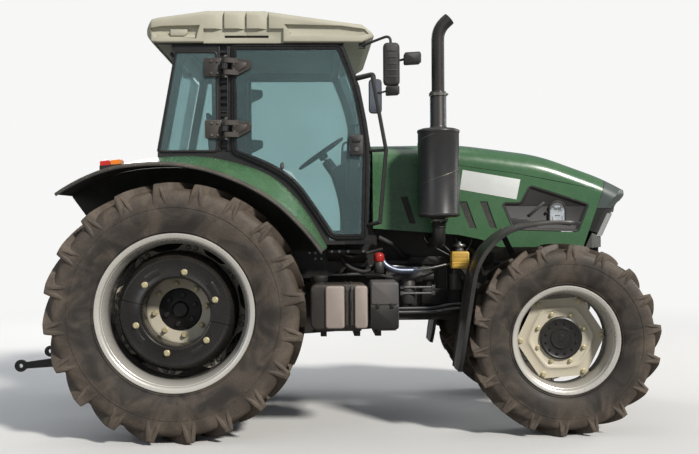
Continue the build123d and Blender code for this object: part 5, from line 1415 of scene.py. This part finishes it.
    # mirror: a ribbed shell on a bent arm
    head = rounded_box(1.352, 1.461, 2.301, 2.586, 0.035, 7)
    steps = ((0.004, 0.871), (0.0, 0.875), (0.0, 0.886), (0.006, 0.897), (0.02, 0.904))
    mirror = [slab(head, y_sign, steps)]
    for z in np.linspace(2.36, 2.53, 5):
        rib = rounded_box(1.372, 1.441, z - 0.005, z + 0.005, 0.003, 3)
        mirror.append(slab(rib, y_sign, ((0.0, 0.903), (0.0, 0.9055), (0.0015, 0.9065))))
    mirror.append(tube([(1.220, y_sign * 0.767, 2.585), (1.404, y_sign * 0.867, 2.640),
                        (1.404, y_sign * 0.862, 2.45)], 0.009))
    mirror.append(plan_block(corners(1.198, 1.242, 0.744, 0.772), 2.568, 2.610, y_sign))
    mirror_piece = make_piece(f"mirror_head_{side}", mirror, plastic_dark, "chassis",
                              sharp=45)
    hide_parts(f"mirror_{side}")
    glass_line = shrunk(head, 0.008)
    glass = prism(glass_line, y_sign * 0.8712, y_sign * 0.8695)
    make_piece(f"mirror_glass_{side}", [glass], chrome, "chassis")


# ---- Exhaust and fuel filter ----
# Upright silencer wrapped in a spiral-seamed sheet between two rolled rims, on a clamped elbow, with a bent
# stack above. Beside the engine stands a yellow cast filter head with a bright primer cap.
exhaust_paint = finish("exhaust_paint", srgb(48, 48, 50), 0.34, dust=0.12, grain=90, relief=0.2)
exhaust_dark = finish("exhaust_dark", srgb(28, 27, 27), 0.5, dust=0.15, grain=90, relief=0.4)
filter_yellow = finish("filter_yellow", srgb(214, 172, 70), 0.38, dust=0.2, grain=150, relief=0.15)
filter_lines = finish("filter_lines", srgb(92, 74, 30), 0.5, dust=0.1, relief=0.0)
stack_x, stack_y = 1.742, -0.640
silencer = [(0.040, 1.431), (0.062, 1.431), (0.066, 1.437), (0.118, 1.438), (0.136, 1.444),
            (0.1425, 1.450), (0.1448, 1.453), (0.1448, 1.463), (0.1425, 1.466), (0.1405, 1.470),
            (0.1405, 2.008), (0.1425, 2.012), (0.1448, 2.016), (0.1448, 2.027), (0.1420, 2.031),
            (0.130, 2.036), (0.112, 2.042), (0.062, 2.046), (0.058, 2.052), (0.0555, 2.060),
            (0.0555, 2.285), (0.0535, 2.293), (0.047, 2.296)]
can = make_piece("silencer", [upright(silencer, stack_x, stack_y, 64)], exhaust_paint,
                 "chassis")
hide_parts("exhaust")
turns = np.linspace(0.0, 4 * np.pi - 0.9, 70)
seam = np.stack([stack_x + 0.1408 * np.cos(turns), stack_y + 0.1408 * np.sin(turns),
                 1.586 + 0.0484 * (turns - 1.5 * np.pi) + 0.125], axis=1)
seam = seam[(seam[:, 2] > 1.474) & (seam[:, 2] < 2.004)]
make_piece("silencer_seam", [tube(seam, 0.0028, 6, smooth=0.004)], bolt_steel, "chassis",
           sharp=60)
bend = [(stack_x, stack_y, 2.27), (stack_x, stack_y, 2.60)]
bend += [(stack_x + 0.150 * (1 - np.cos(a)), stack_y, 2.650 + 0.150 * np.sin(a))
         for a in np.radians([0, 12, 24, 36, 48])]
bend.append((bend[-1][0] + 0.040 * np.sin(np.radians(48)), stack_y, bend[-1][2] + 0.040
             * np.cos(np.radians(48))))
stack = make_piece("stack", [tube(bend, 0.0438, 32, smooth=0.012)], exhaust_dark, "chassis")
cut(stack, [tube([bend[-2], bend[-1], tuple(2 * np.array(bend[-1]) - np.array(bend[-2]))], 0.0405,
                 32, smooth=0.001)])
elbow = [tube([(stack_x, stack_y, 1.436), (stack_x, stack_y, 1.268), (stack_x, -0.227, 1.268)], 0.0445, 28,
              smooth=0.075)]
for z in (1.372, 1.386, 1.400):
    elbow.append(upright([(0.044, z - 0.006), (0.050, z - 0.004), (0.052, z), (0.050, z + 0.004),
                          (0.044, z + 0.006)], stack_x, stack_y, 28))
make_piece("exhaust_elbow", elbow, exhaust_dark, "chassis")
clamps = [upright([(0.058, 2.262), (0.062, 2.264), (0.062, 2.282), (0.058, 2.284)], stack_x,
                  stack_y, 32), upright([(0.040, 1.412), (0.062, 1.412), (0.064, 1.415), (0.064, 1.424),
                                         (0.062, 1.427), (0.040, 1.427)], stack_x, stack_y, 32),
          tube([(stack_x + 0.062, stack_y - 0.03, 2.273), (stack_x + 0.062, stack_y + 0.03, 2.273)],
               0.006, 8)]
for angle in np.radians([-80, -10, 60, 130, 200]):
    place = (rear_axle_x + stack_x + 0.050 * np.cos(angle), stack_y + 0.050 * np.sin(angle), 1.412)
    clamps.append(bolt_head(place, (0, 0, -1), 0.009, 0.008))
make_piece("exhaust_clamps", clamps, bolt_steel, "chassis")
filter_plan = rounded_box(1.859, 1.984, -0.417, -0.301, 0.014, 5)
body_rows = []
for by, z in ((0.008, 1.076), (0.0, 1.084), (0.0, 1.118), (0.003, 1.121), (0.003, 1.124), (0.0, 1.127),
              (0.0, 1.186), (0.003, 1.193), (0.012, 1.197)):
    loop = shrunk(filter_plan, by)
    body_rows.append(from_axle(loop[:, 0], loop[:, 1], z))
head = [closed(body_rows), prism(corners(1.893, 1.949, 1.111, 1.149), -0.302, -0.2255)]
filter_head = make_piece("filter_head", head, filter_yellow, "chassis", sharp=40)
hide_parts("filter_unit")
frames = []
for x0, x1, z0, z1 in ((1.872, 1.971, 1.136, 1.180), (1.872, 1.971, 1.088, 1.112),
                       (1.880, 1.963, 1.152, 1.166)):
    loop = np.array(corners(x0, x1, z0, z1))
    frames.append(skin(flat_loops(loop, -1.0, ((0.0, 0.4165), (0.0, 0.4178), (0.0025, 0.4178),
                                               (0.0025, 0.4165))), wrap_rows=True, wrap_columns=True))
make_piece("filter_lines", frames, filter_lines, "chassis")
cap = [(0.030, 1.195), (0.032, 1.205), (0.030, 1.216), (0.024, 1.219), (0.024, 1.228), (0.040, 1.231),
       (0.0435, 1.236), (0.0435, 1.243), (0.040, 1.248), (0.018, 1.251), (0.016, 1.262), (0.013, 1.271),
       (0.006, 1.2735)]
make_piece("filter_cap", [upright(cap, 1.921, -0.359, 32)], bright_steel, "chassis")


# ---- Tank, battery box and the machinery between the axles ----
# Ribbed black plastic tank and a grey moulded battery box, both strapped to the frame; behind them and beside
# the engine run steel pipes, rubber hoses, a finned cooler, filters and the injector pipes.
tank_black = finish("tank_plastic", srgb(44, 41, 40), 0.40, dust=0.25, grain=260, relief=0.3)
tank_grey = finish("tank_cover", srgb(160, 148, 140), 0.42, dust=0.25, grain=260, relief=0.3)
box_grey = finish("box_plastic", srgb(84, 83, 84), 0.42, dust=0.25, grain=260, relief=0.25)
strap_steel = finish("strap_steel", srgb(44, 42, 41), 0.45, dust=0.2)
machine_black = finish("machine_black", srgb(22, 22, 23), 0.45, dust=0.16, grain=80, relief=0.5, depth=0.001)
machine_grey = finish("machine_grey", srgb(60, 60, 60), 0.45, dust=0.22, grain=80, relief=0.5, metal=0.4)
red_cap = finish("red_cap", srgb(170, 26, 24), 0.3, dust=0.1, coat=0.4)


def moulded(outline, inner, outer, edge, y_sign=-1.0):
    """A moulded box: a rounded outline in the side view carried from inner to outer with soft outer edges."""
    steps = ((edge, inner), (0.0, inner + edge), (0.0, outer - edge), (0.3 * edge, outer - 0.3 * edge),
             (edge, outer))
    return slab(outline, y_sign, steps)


tank_line = rounded_box(0.864, 1.238, 0.713, 1.007, 0.05, 9)
tank = [moulded(tank_line, 0.691, 0.968, 0.014)]
covers = [moulded(rounded_box(x0, x1, 0.722, 0.998, 0.022, 6), 0.95, 0.988, 0.010)
          for x0, x1 in ((0.962, 1.085), (1.150, 1.234))]
make_piece("tank_covers", covers, tank_grey, "chassis", sharp=45)
tank.append(plan_block(corners(0.902, 1.198, -0.70, -0.88), 0.6953, 0.722))
tank_piece = make_piece("tank_body", tank, tank_black, "chassis", sharp=45)
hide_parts("fuel_tank")
straps = []
for x in (1.100, 1.134):
    path = np.array([(x, -0.70, 1.0085), (x, -0.955, 1.0085), (x, -0.9895, 0.975), (x, -0.9895, 0.745),
                     (x, -0.955, 0.711), (x, -0.72, 0.711)])
    rows = [from_axle(path[:, 0] + dx, path[:, 1], path[:, 2]) for dx in (-0.007, 0.007)]
    thick = np.array([(0, 0, 0.002), (0, -0.001, 0.0015), (0, -0.002, 0), (0, -0.002, 0),
                      (0, -0.001, -0.0015), (0, 0, -0.002)])
    rows += [rows[1] + thick, rows[0] + thick]
    straps.append(skin(np.stack(rows), wrap_rows=True))
    straps.append(tube([(x, -0.9925, 0.84), (x, -0.9925, 0.90)], 0.005, 8))
make_piece("tank_straps", straps, strap_steel, "chassis")
filler = [(0.050, 1.000), (0.050, 1.020), (0.054, 1.022), (0.056, 1.030), (0.056, 1.050), (0.050, 1.058),
          (0.020, 1.060)]
make_piece("tank_cap", [upright(filler, 0.925, -0.83, 32)], machine_black, "chassis")
box_line = rounded_box(1.255, 1.438, 0.713, 1.021, 0.022, 6)
battery = [moulded(box_line, 0.691, 0.980, 0.010)]
battery.append(moulded(rounded_box(1.258, 1.435, 0.874, 1.018, 0.02, 5), 0.96, 0.989, 0.008))
lower_case = moulded(rounded_box(1.260, 1.433, 0.716, 0.868, 0.016, 5), 0.96, 0.986, 0.006)
make_piece("battery_lower", [lower_case], machine_black, "chassis", sharp=45)
battery.append(plan_block(corners(1.302, 1.428, -0.70, -0.88), 0.6953, 0.716))
box_piece = make_piece("battery_case", battery, box_grey, "chassis", sharp=45)
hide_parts("battery_box")
catches = [moulded(rounded_box(x - 0.011, x + 0.011, 0.852, 0.884, 0.004, 3),
                   0.985, 0.994, 0.002) for x in (1.300, 1.392)]
make_piece("battery_catches", catches, machine_black, "chassis")

# the engine's right side: block ribs, head cover, manifold, starter, oil filter and pipes on its flank
flank = -0.2255
works = []
for x0, x1, z0, z1, depth in ((1.36, 2.16, 1.10, 1.16, 0.030), (1.38, 2.14, 0.74, 0.80, 0.028),
                              (1.42, 2.12, 1.42, 1.50, 0.050), (1.45, 1.62, 0.86, 1.04, 0.060),
                              (1.98, 2.15, 0.84, 1.02, 0.050), (1.66, 1.84, 0.82, 0.93, 0.045)):
    works.append(moulded(rounded_box(x0, x1, z0, z1, 0.02, 5), -flank, -flank + depth, 0.006))
for x in np.linspace(1.42, 2.10, 9):
    works.append(moulded(rounded_box(x - 0.008, x + 0.008, 0.80, 1.10, 0.003, 3),
                         -flank, -flank + 0.022, 0.003))
    works.append(moulded(rounded_box(x - 0.02, x + 0.02, 1.50, 1.60, 0.008, 3),
                         -flank, -flank + 0.030, 0.004))
make_piece("engine_works", works, machine_black, "chassis", sharp=40)
pump = [upright([(0.040, 0.92), (0.046, 0.925), (0.046, 1.020), (0.050, 1.022), (0.050, 1.036),
                 (0.030, 1.040), (0.030, 1.06)], 1.90, -0.29, 28),
        upright([(0.030, 0.83), (0.052, 0.832), (0.056, 0.84), (0.056, 0.98), (0.050, 0.99),
                 (0.050, 1.0)], 1.55, -0.345, 32),
        tube([(1.40, -0.30, 1.02), (1.66, -0.30, 1.02)], 0.052, 28),
        tube([(1.66, -0.30, 1.02), (1.74, -0.30, 1.02)], 0.036, 24),
        tube([(1.42, -0.275, 1.12), (1.56, -0.275, 1.12)], 0.026, 20)]
make_piece("engine_fittings", pump, machine_grey, "chassis")
pipes = []
for k, x in enumerate((1.885, 1.895, 1.905, 1.915), start=-2):
    pipes.append(tube([(x, -0.30, 1.04), (x + 0.02, -0.34, 1.14), (x + 0.10 * k, -0.33, 1.26),
                       (x + 0.12 * k, -0.27, 1.43)], 0.0045, 8, smooth=0.05))
feed = [tube([(1.355, -0.56, 1.15), (1.385, -0.575, 1.105), (1.46, -0.56, 1.072),
              (1.585, -0.52, 1.070)], 0.021, 16),
        tube([(1.570, -0.523, 1.070), (1.605, -0.512, 1.070)], 0.027, 6)]
pipe_blue = finish("pipe_blue", srgb(112, 120, 138), 0.34, dust=0.2, relief=0.02, metal=0.75)
make_piece("fuel_feed_pipe", feed, pipe_blue, "chassis")
for z in (0.948, 0.905):
    pipes.append(tube([(1.50, -0.40, z), (1.735, -0.40, z)], 0.008, 12))
    pipes += [tube([(x, -0.40, z), (x + 0.022, -0.40, z)], 0.0155, 6) for x in (1.495, 1.718)]
pipes += [tube([(1.58, -0.50, 1.071), (1.70, -0.42, 1.08), (1.86, -0.34, 1.11)], 0.009, 12),
          tube([(1.28, -0.44, 1.10), (1.46, -0.46, 1.10), (1.60, -0.36, 1.08), (1.72, -0.29, 1.08)],
               0.010, 12), tube([(0.98, -0.52, 1.05), (1.30, -0.52, 1.05), (1.44, -0.40, 1.02)], 0.010,
                                10), tube([(1.30, -0.40, 0.80), (1.72, -0.40, 0.80),
                                           (1.86, -0.31, 0.82), (1.98, -0.27, 0.82)], 0.009, 10),
          tube([(1.30, -0.42, 0.775), (1.72, -0.42, 0.775), (1.88, -0.32, 0.79), (1.98, -0.27, 0.79)],
               0.009, 10)]
make_piece("engine_pipes", pipes, bright_steel, "chassis")
hoses = [tube([(1.06, -0.60, 1.20), (1.12, -0.62, 1.10), (1.24, -0.58, 1.06), (1.34, -0.50, 1.12)],
              0.016, 12), tube([(1.34, -0.45, 1.30), (1.46, -0.44, 1.24), (1.52, -0.36, 1.16),
                                (1.56, -0.29, 1.16)], 0.020, 12),
         tube([(1.90, -0.34, 1.10), (1.96, -0.35, 1.02), (2.00, -0.29, 0.94), (2.02, -0.25, 0.94)],
              0.012, 12), tube([(1.96, -0.28, 1.24), (2.04, -0.30, 1.20), (2.08, -0.27, 1.10),
                                (2.08, -0.24, 1.02)], 0.022, 14),
         tube([(1.00, -0.66, 1.235), (1.14, -0.68, 1.17), (1.26, -0.62, 1.20), (1.36, -0.50, 1.22)],
              0.011, 10), tube([(0.70, -0.44, 1.02), (0.95, -0.47, 0.98), (1.15, -0.46, 0.94),
                                (1.30, -0.40, 0.90)], 0.014, 12)]
make_piece("engine_hoses", hoses, rubber_black, "chassis")
make_piece("brake_reservoir_cap", [upright([(0.034, 1.140), (0.037, 1.145), (0.037, 1.178),
                                            (0.034, 1.188), (0.022, 1.198), (0.008, 1.2015)], 1.335,
                                           -0.585, 24)], red_cap, "chassis", sharp=50)
make_piece("brake_reservoir", [upright([(0.030, 1.06), (0.035, 1.066), (0.035, 1.128), (0.030, 1.134),
                                        (0.030, 1.141)], 1.335, -0.585, 24)], machine_grey,
           "chassis", sharp=50)
# cab mounts and the bracket that carries the tank, hung from the frame under the cab's front corner
mounts = []
for y_sign in (-1.0, 1.0):
    mounts.append(bar_along(0.985, 1.245, [(0.45, 1.225), (0.71, 1.225), (0.71, 1.205), (0.52, 1.13),
                                           (0.45, 1.11)], y_sign))
    mounts.append(upright([(0.030, 1.195), (0.048, 1.198), (0.052, 1.206), (0.048, 1.2145), (0.052, 1.223),
                           (0.048, 1.2275), (0.020, 1.2277)], 1.18, y_sign * 0.66, 24))
    mounts.append(prism([(0.955, 1.040), (1.000, 1.040), (1.245, 1.205), (1.245, 1.225),
                         (0.985, 1.225)], y_sign * 0.53, y_sign * 0.545))
make_piece("cab_mounts", mounts, machine_black, "chassis", sharp=40)
studs = [bolt_head((rear_axle_x + x, y_sign * 0.7105, z), (0, y_sign, 0), 0.011, 0.010)
         for y_sign in (-1.0, 1.0) for x, z in ((1.01, 1.215), (1.06, 1.215), (1.12, 1.215), (1.22, 1.215))]
studs += [bolt_head((rear_axle_x + x, y_sign * 0.562, z), (0, y_sign, 0), 0.010, 0.010)
          for y_sign in (-1.0, 1.0)
          for x, z in ((0.86, 1.20), (0.90, 1.20), (0.94, 1.20), (0.90, 1.16), (0.94, 1.16))]
make_piece("cab_mount_bolts", studs, bright_steel, "chassis")
# shield beside each fender's foot and the bulkhead between the cab and the bonnet
shields = [prism([(0.58, 1.2275), (0.985, 1.2275), (0.985, 1.03), (0.79, 1.03)], y_sign * 0.556,
                 y_sign * 0.560) for y_sign in (-1.0, 1.0)]
shields += [prism(corners(0.975, 1.262, 1.10, 1.262), y_sign * 0.500, y_sign * 0.503)
            for y_sign in (-1.0, 1.0)]
shields.append(prism([(1.254, 1.02), (1.334, 1.02), (1.334, 1.30), (1.285, 1.40), (1.254, 1.40)],
                     -0.375, 0.375))
shields.append(prism(corners(1.254, 1.285, 1.40, 1.60), -0.30, 0.30))
make_piece("side_shields", shields, machine_black, "chassis", sharp=40)


# ---- Inside the cab ----
# A sprung seat with cloth-covered foam on a black shell, a soft-rimmed steering wheel on a slanted column, a
# moulded dash with plain dials, and a side console with the levers.
def pillow(centre, size, tilt=0.0, square=0.34, dent=0.0, rows=26, columns=44):
    """A soft block: a superellipsoid of the given size, tilted back about its middle, dented along its
    face."""
    u = np.linspace(-np.pi / 2, np.pi / 2, rows)[:, None]
    v = whole_turn(columns)[None, :]

    def eased(value):
        """Signed power that squares the round form up."""
        return np.sign(value) * np.abs(value) ** square

    across = eased(np.cos(u)) * eased(np.cos(v))
    along_y = eased(np.cos(u)) * eased(np.sin(v))
    up = eased(np.sin(u)) + 0 * v
    up = up - dent * np.exp(-(along_y / 0.55) ** 2) * (up > 0) * up
    x, y, z = (0.5 * s * p for s, p in zip(size, (across, along_y, up)))
    turned_x = x * np.cos(tilt) - z * np.sin(tilt)
    turned_z = x * np.sin(tilt) + z * np.cos(tilt)
    points = from_axle(centre[0] + turned_x, centre[1] + y, centre[2] + turned_z)
    return skin(points, wrap_columns=True, caps=False)


seat_cloth = finish("seat_cloth", srgb(46, 46, 50), 0.85, dust=0.12, grain=700, relief=0.12)
lean = np.radians(-82.0)
seat_pads = make_piece("seat_cushion", [pillow((0.455, 0.0, 1.612), (0.47, 0.455, 0.085),
                                               np.radians(2.0), dent=0.14),
                                        pillow((0.642, 0.0, 1.608), (0.10, 0.45, 0.08), 0.0)],
                       seat_cloth, "chassis", sharp=60)
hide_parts("seat")
back_pads = make_piece("seat_back_cushion",
                       [pillow((0.238, 0.0, 1.90), (0.52, 0.44, 0.095), -lean, dent=-0.10),
                        pillow((0.205, 0.0, 2.215), (0.14, 0.30, 0.085), -lean)], seat_cloth,
                       "chassis", sharp=60)
shell_parts = [prism(rounded([(0.165, 1.565), (0.690, 1.563), (0.692, 1.580), (0.30, 1.585),
                              (0.232, 1.640), (0.150, 2.200), (0.122, 2.200)], 0.012, 4), -0.20,
                     0.20), upright([(0.078, 1.2905), (0.078, 1.31), (0.06, 1.33)]
                                    + [(0.058 + 0.014 * (k % 2), 1.34 + 0.022 * k) for k in range(9)]
                                    + [(0.06, 1.545), (0.074, 1.562)], 0.450, 0.0, 32)]
for y_sign in (-1.0, 1.0):
    shell_parts.append(tube([(0.225, y_sign * 0.222, 1.80), (0.245, y_sign * 0.228, 1.815),
                             (0.46, y_sign * 0.228, 1.81)], 0.020, 14, smooth=0.02))
make_piece("seat_shell", shell_parts, plastic_dark, "chassis", sharp=40)

wheel_tilt = np.radians(35.0)
column_axis = np.array([-np.sin(wheel_tilt), 0.0, np.cos(wheel_tilt)])
column_side = np.array([0.0, 1.0, 0.0])
column_up = np.cross(column_axis, column_side)
column_top = np.array([0.960, 0.0, 1.900])


def round_column(profile, segments=36, start=column_top):
    """A form turned about the steering column, from (radius, distance along it) pairs."""
    turn = whole_turn(segments)[None, :, None]
    radius, rise = (np.array(profile)[:, k][:, None, None] for k in (0, 1))
    points = start + rise * column_axis + radius * (np.cos(turn) * column_side + np.sin(turn) * column_up)
    return closed(points + [rear_axle_x, 0, 0])


grip = [(0.188 + 0.0115 * np.cos(a), 0.020 + 0.0105 * np.sin(a)) for a in whole_turn(12)]
turn = whole_turn(72)[:, None, None]
radius, rise = (np.array(grip)[:, k][None, :, None] for k in (0, 1))
outward = np.cos(turn) * column_side + np.sin(turn) * column_up
rim_points = column_top + rise * column_axis + radius * outward
wheel_forms = [skin(rim_points + [rear_axle_x, 0, 0], wrap_rows=True, wrap_columns=True)]
for angle in np.radians([90.0, 210.0, 330.0]):
    out_way = np.cos(angle) * column_side + np.sin(angle) * column_up
    spoke = [column_top + column_axis * 0.020 + out_way * r for r in (0.02, 0.10, 0.182)]
    wheel_forms.append(tube(spoke, 0.010, 10))
wheel_forms.append(round_column([(0.030, -0.029), (0.034, -0.02), (0.036, 0.010), (0.036, 0.024),
                                 (0.030, 0.030), (0.010, 0.0315)]))
wheel_piece = make_piece("steering_wheel_grip", wheel_forms, rubber_black, "steering_wheel",
                         sharp=50)
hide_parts("steering_wheel")
dash_black = finish("dash_black", srgb(38, 39, 41), 0.5, dust=0.12, grain=300, relief=0.04)
dash_line = rounded([(1.090, 1.2905), (1.2375, 1.2905), (1.2375, 1.800), (1.120, 1.840), (1.012, 1.782),
                     (1.060, 1.640), (1.090, 1.500)], [0.0, 0.0, 0.02, 0.03, 0.02, 0.05, 0.08], 6)
dash = make_piece("dash", [prism(dash_line, -0.19, 0.19)], dash_black, "chassis", sharp=40)
bevelled(dash, 0.010, 3)
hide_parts("console")
column = [round_column([(0.038, -0.259), (0.040, -0.25), (0.040, -0.06), (0.034, -0.044), (0.012, -0.042),
                        (0.012, 0.0)])]
column += [tube([column_top - column_axis * 0.09 + [0, y_sign * 0.03, 0], column_top - column_axis * 0.07 +
                 [0, y_sign * 0.13, 0.01]], 0.006, 8) for y_sign in (-1.0, 1.0)]
make_piece("steering_column", column, dash_black, "chassis", sharp=40)
dial_face = finish("dial_face", srgb(14, 15, 17), 0.2, dust=0.05, relief=0.0, coat=0.5)
dial_marks = finish("dial_marks", srgb(220, 220, 214), 0.4, dust=0.02, relief=0.0)
panel_up = np.array([0.108, 0.0, 0.058]) / np.hypot(0.108, 0.058)
panel_out = np.array([-panel_up[2], 0.0, panel_up[0]])
dials, marks = [], []
for y, r in ((-0.085, 0.038), (0.085, 0.038), (0.0, 0.030)):
    centre = np.array([1.066, y, 1.812]) + panel_out * 0.001
    turn = whole_turn(32)[None, :, None]
    radius, rise = (np.array([(r + 0.005, 0.0), (r + 0.005, 0.006), (r, 0.007),
                              (r - 0.002, 0.003)])[:, k][:, None, None] for k in (0, 1))
    dials.append(closed(centre + rise * panel_out + radius * (np.cos(turn) * column_side + np.sin(turn)
                                                              * panel_up) + [rear_axle_x, 0, 0]))
    for angle in np.radians(np.linspace(-40, 220, 9)):
        way = np.cos(angle) * column_side + np.sin(angle) * panel_up
        marks.append(tube([centre + way * (r - 0.010) + panel_out * 0.0035, centre + way * (r - 0.004)
                           + panel_out * 0.0035], 0.0009, 6))
make_piece("dash_dials", dials, dial_face, "chassis", sharp=40)
make_piece("dash_marks", marks, dial_marks, "chassis")
side_box = make_piece("side_console_body", [plan_block(rounded_box(0.252, 0.758, -0.538, -0.332, 0.03,
                                                                   5), 1.5005, 1.688)],
                      dash_black, "chassis", sharp=40)
bevelled(side_box, 0.008, 2)
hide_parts("side_console")
levers, knobs = [], {red_cap: [], filter_yellow: [], rubber_black: []}
for k, (x, y, colour) in enumerate(((0.64, -0.40, filter_yellow), (0.64, -0.46, red_cap),
                                    (0.50, -0.40, rubber_black), (0.50, -0.46, rubber_black),
                                    (0.38, -0.43, filter_yellow))):
    tip = np.array([x + 0.03, y, 1.80 - 0.012 * k])
    levers.append(tube([(x, y, 1.68), (x + 0.008, y, 1.73), tuple(tip)], 0.005, 8))
    knobs[colour].append(pillow(tuple(tip + [0.003, 0, 0.012]), (0.030, 0.030, 0.042), square=0.8,
                                rows=10, columns=16))
make_piece("lever_rods", levers, bright_steel, "chassis")
for colour, forms in knobs.items():
    make_piece(f"lever_{colour.name}", forms, colour, "chassis", sharp=60)

# a small work lamp beside each mirror, on a short arm
for side in ("right", "left"):
    y_sign = sides[side]
    lamp_line = rounded([(1.492, 2.446), (1.600, 2.452), (1.600, 2.528), (1.492, 2.522)], 0.014, 5)
    lamp_body = [slab(lamp_line, y_sign, ((0.010, 0.806), (0.0, 0.814), (0.0, 0.886), (0.010, 0.894))),
                 tube([(1.404, y_sign * 0.864, 2.475), (1.445, y_sign * 0.856, 2.470),
                       (1.495, y_sign * 0.85, 2.482)], 0.008, 10)]
    make_piece(f"work_lamp_{side}", lamp_body, plastic_dark, "chassis", sharp=40)
    lens_loop = rounded_box(0.820, 0.880, 2.460, 2.518, 0.010, 5)
    rows = [from_axle(x, y_sign * lens_loop[:, 0], lens_loop[:, 1]) for x in (1.598, 1.6035)]
    make_piece(f"work_lamp_glass_{side}", [closed(rows)], chrome, "chassis")


# ---- Finishes of the frame's own pieces ----
# Cast iron under black paint, black chassis steel, the painted cab frame and tinted glass. The pieces that
# have been replaced need none.
finishes = {
    "black_casting": finish("casting_black", srgb(26, 26, 27), 0.5, dust=0.2, grain=70, relief=0.5,
                            depth=0.0015),
    "black_steel": finish("steel_black", srgb(24, 24, 25), 0.40, dust=0.15),
    "black_paint": finish("paint_black", srgb(33, 34, 36), 0.34, dust=0.15, coat=0.2),
    "engine_grey": finish("engine_iron", srgb(38, 38, 38), 0.55, dust=0.25, grain=70, relief=0.5,
                          depth=0.0015),
    "tinted_glass": glass_tinted,
}
for part in frame["record"]["subparts"]:
    if part["material_slot"] in finishes:
        node = nodes[part["node"]]
        node.data.materials.clear()
        node.data.materials.append(finishes[part["material_slot"]])
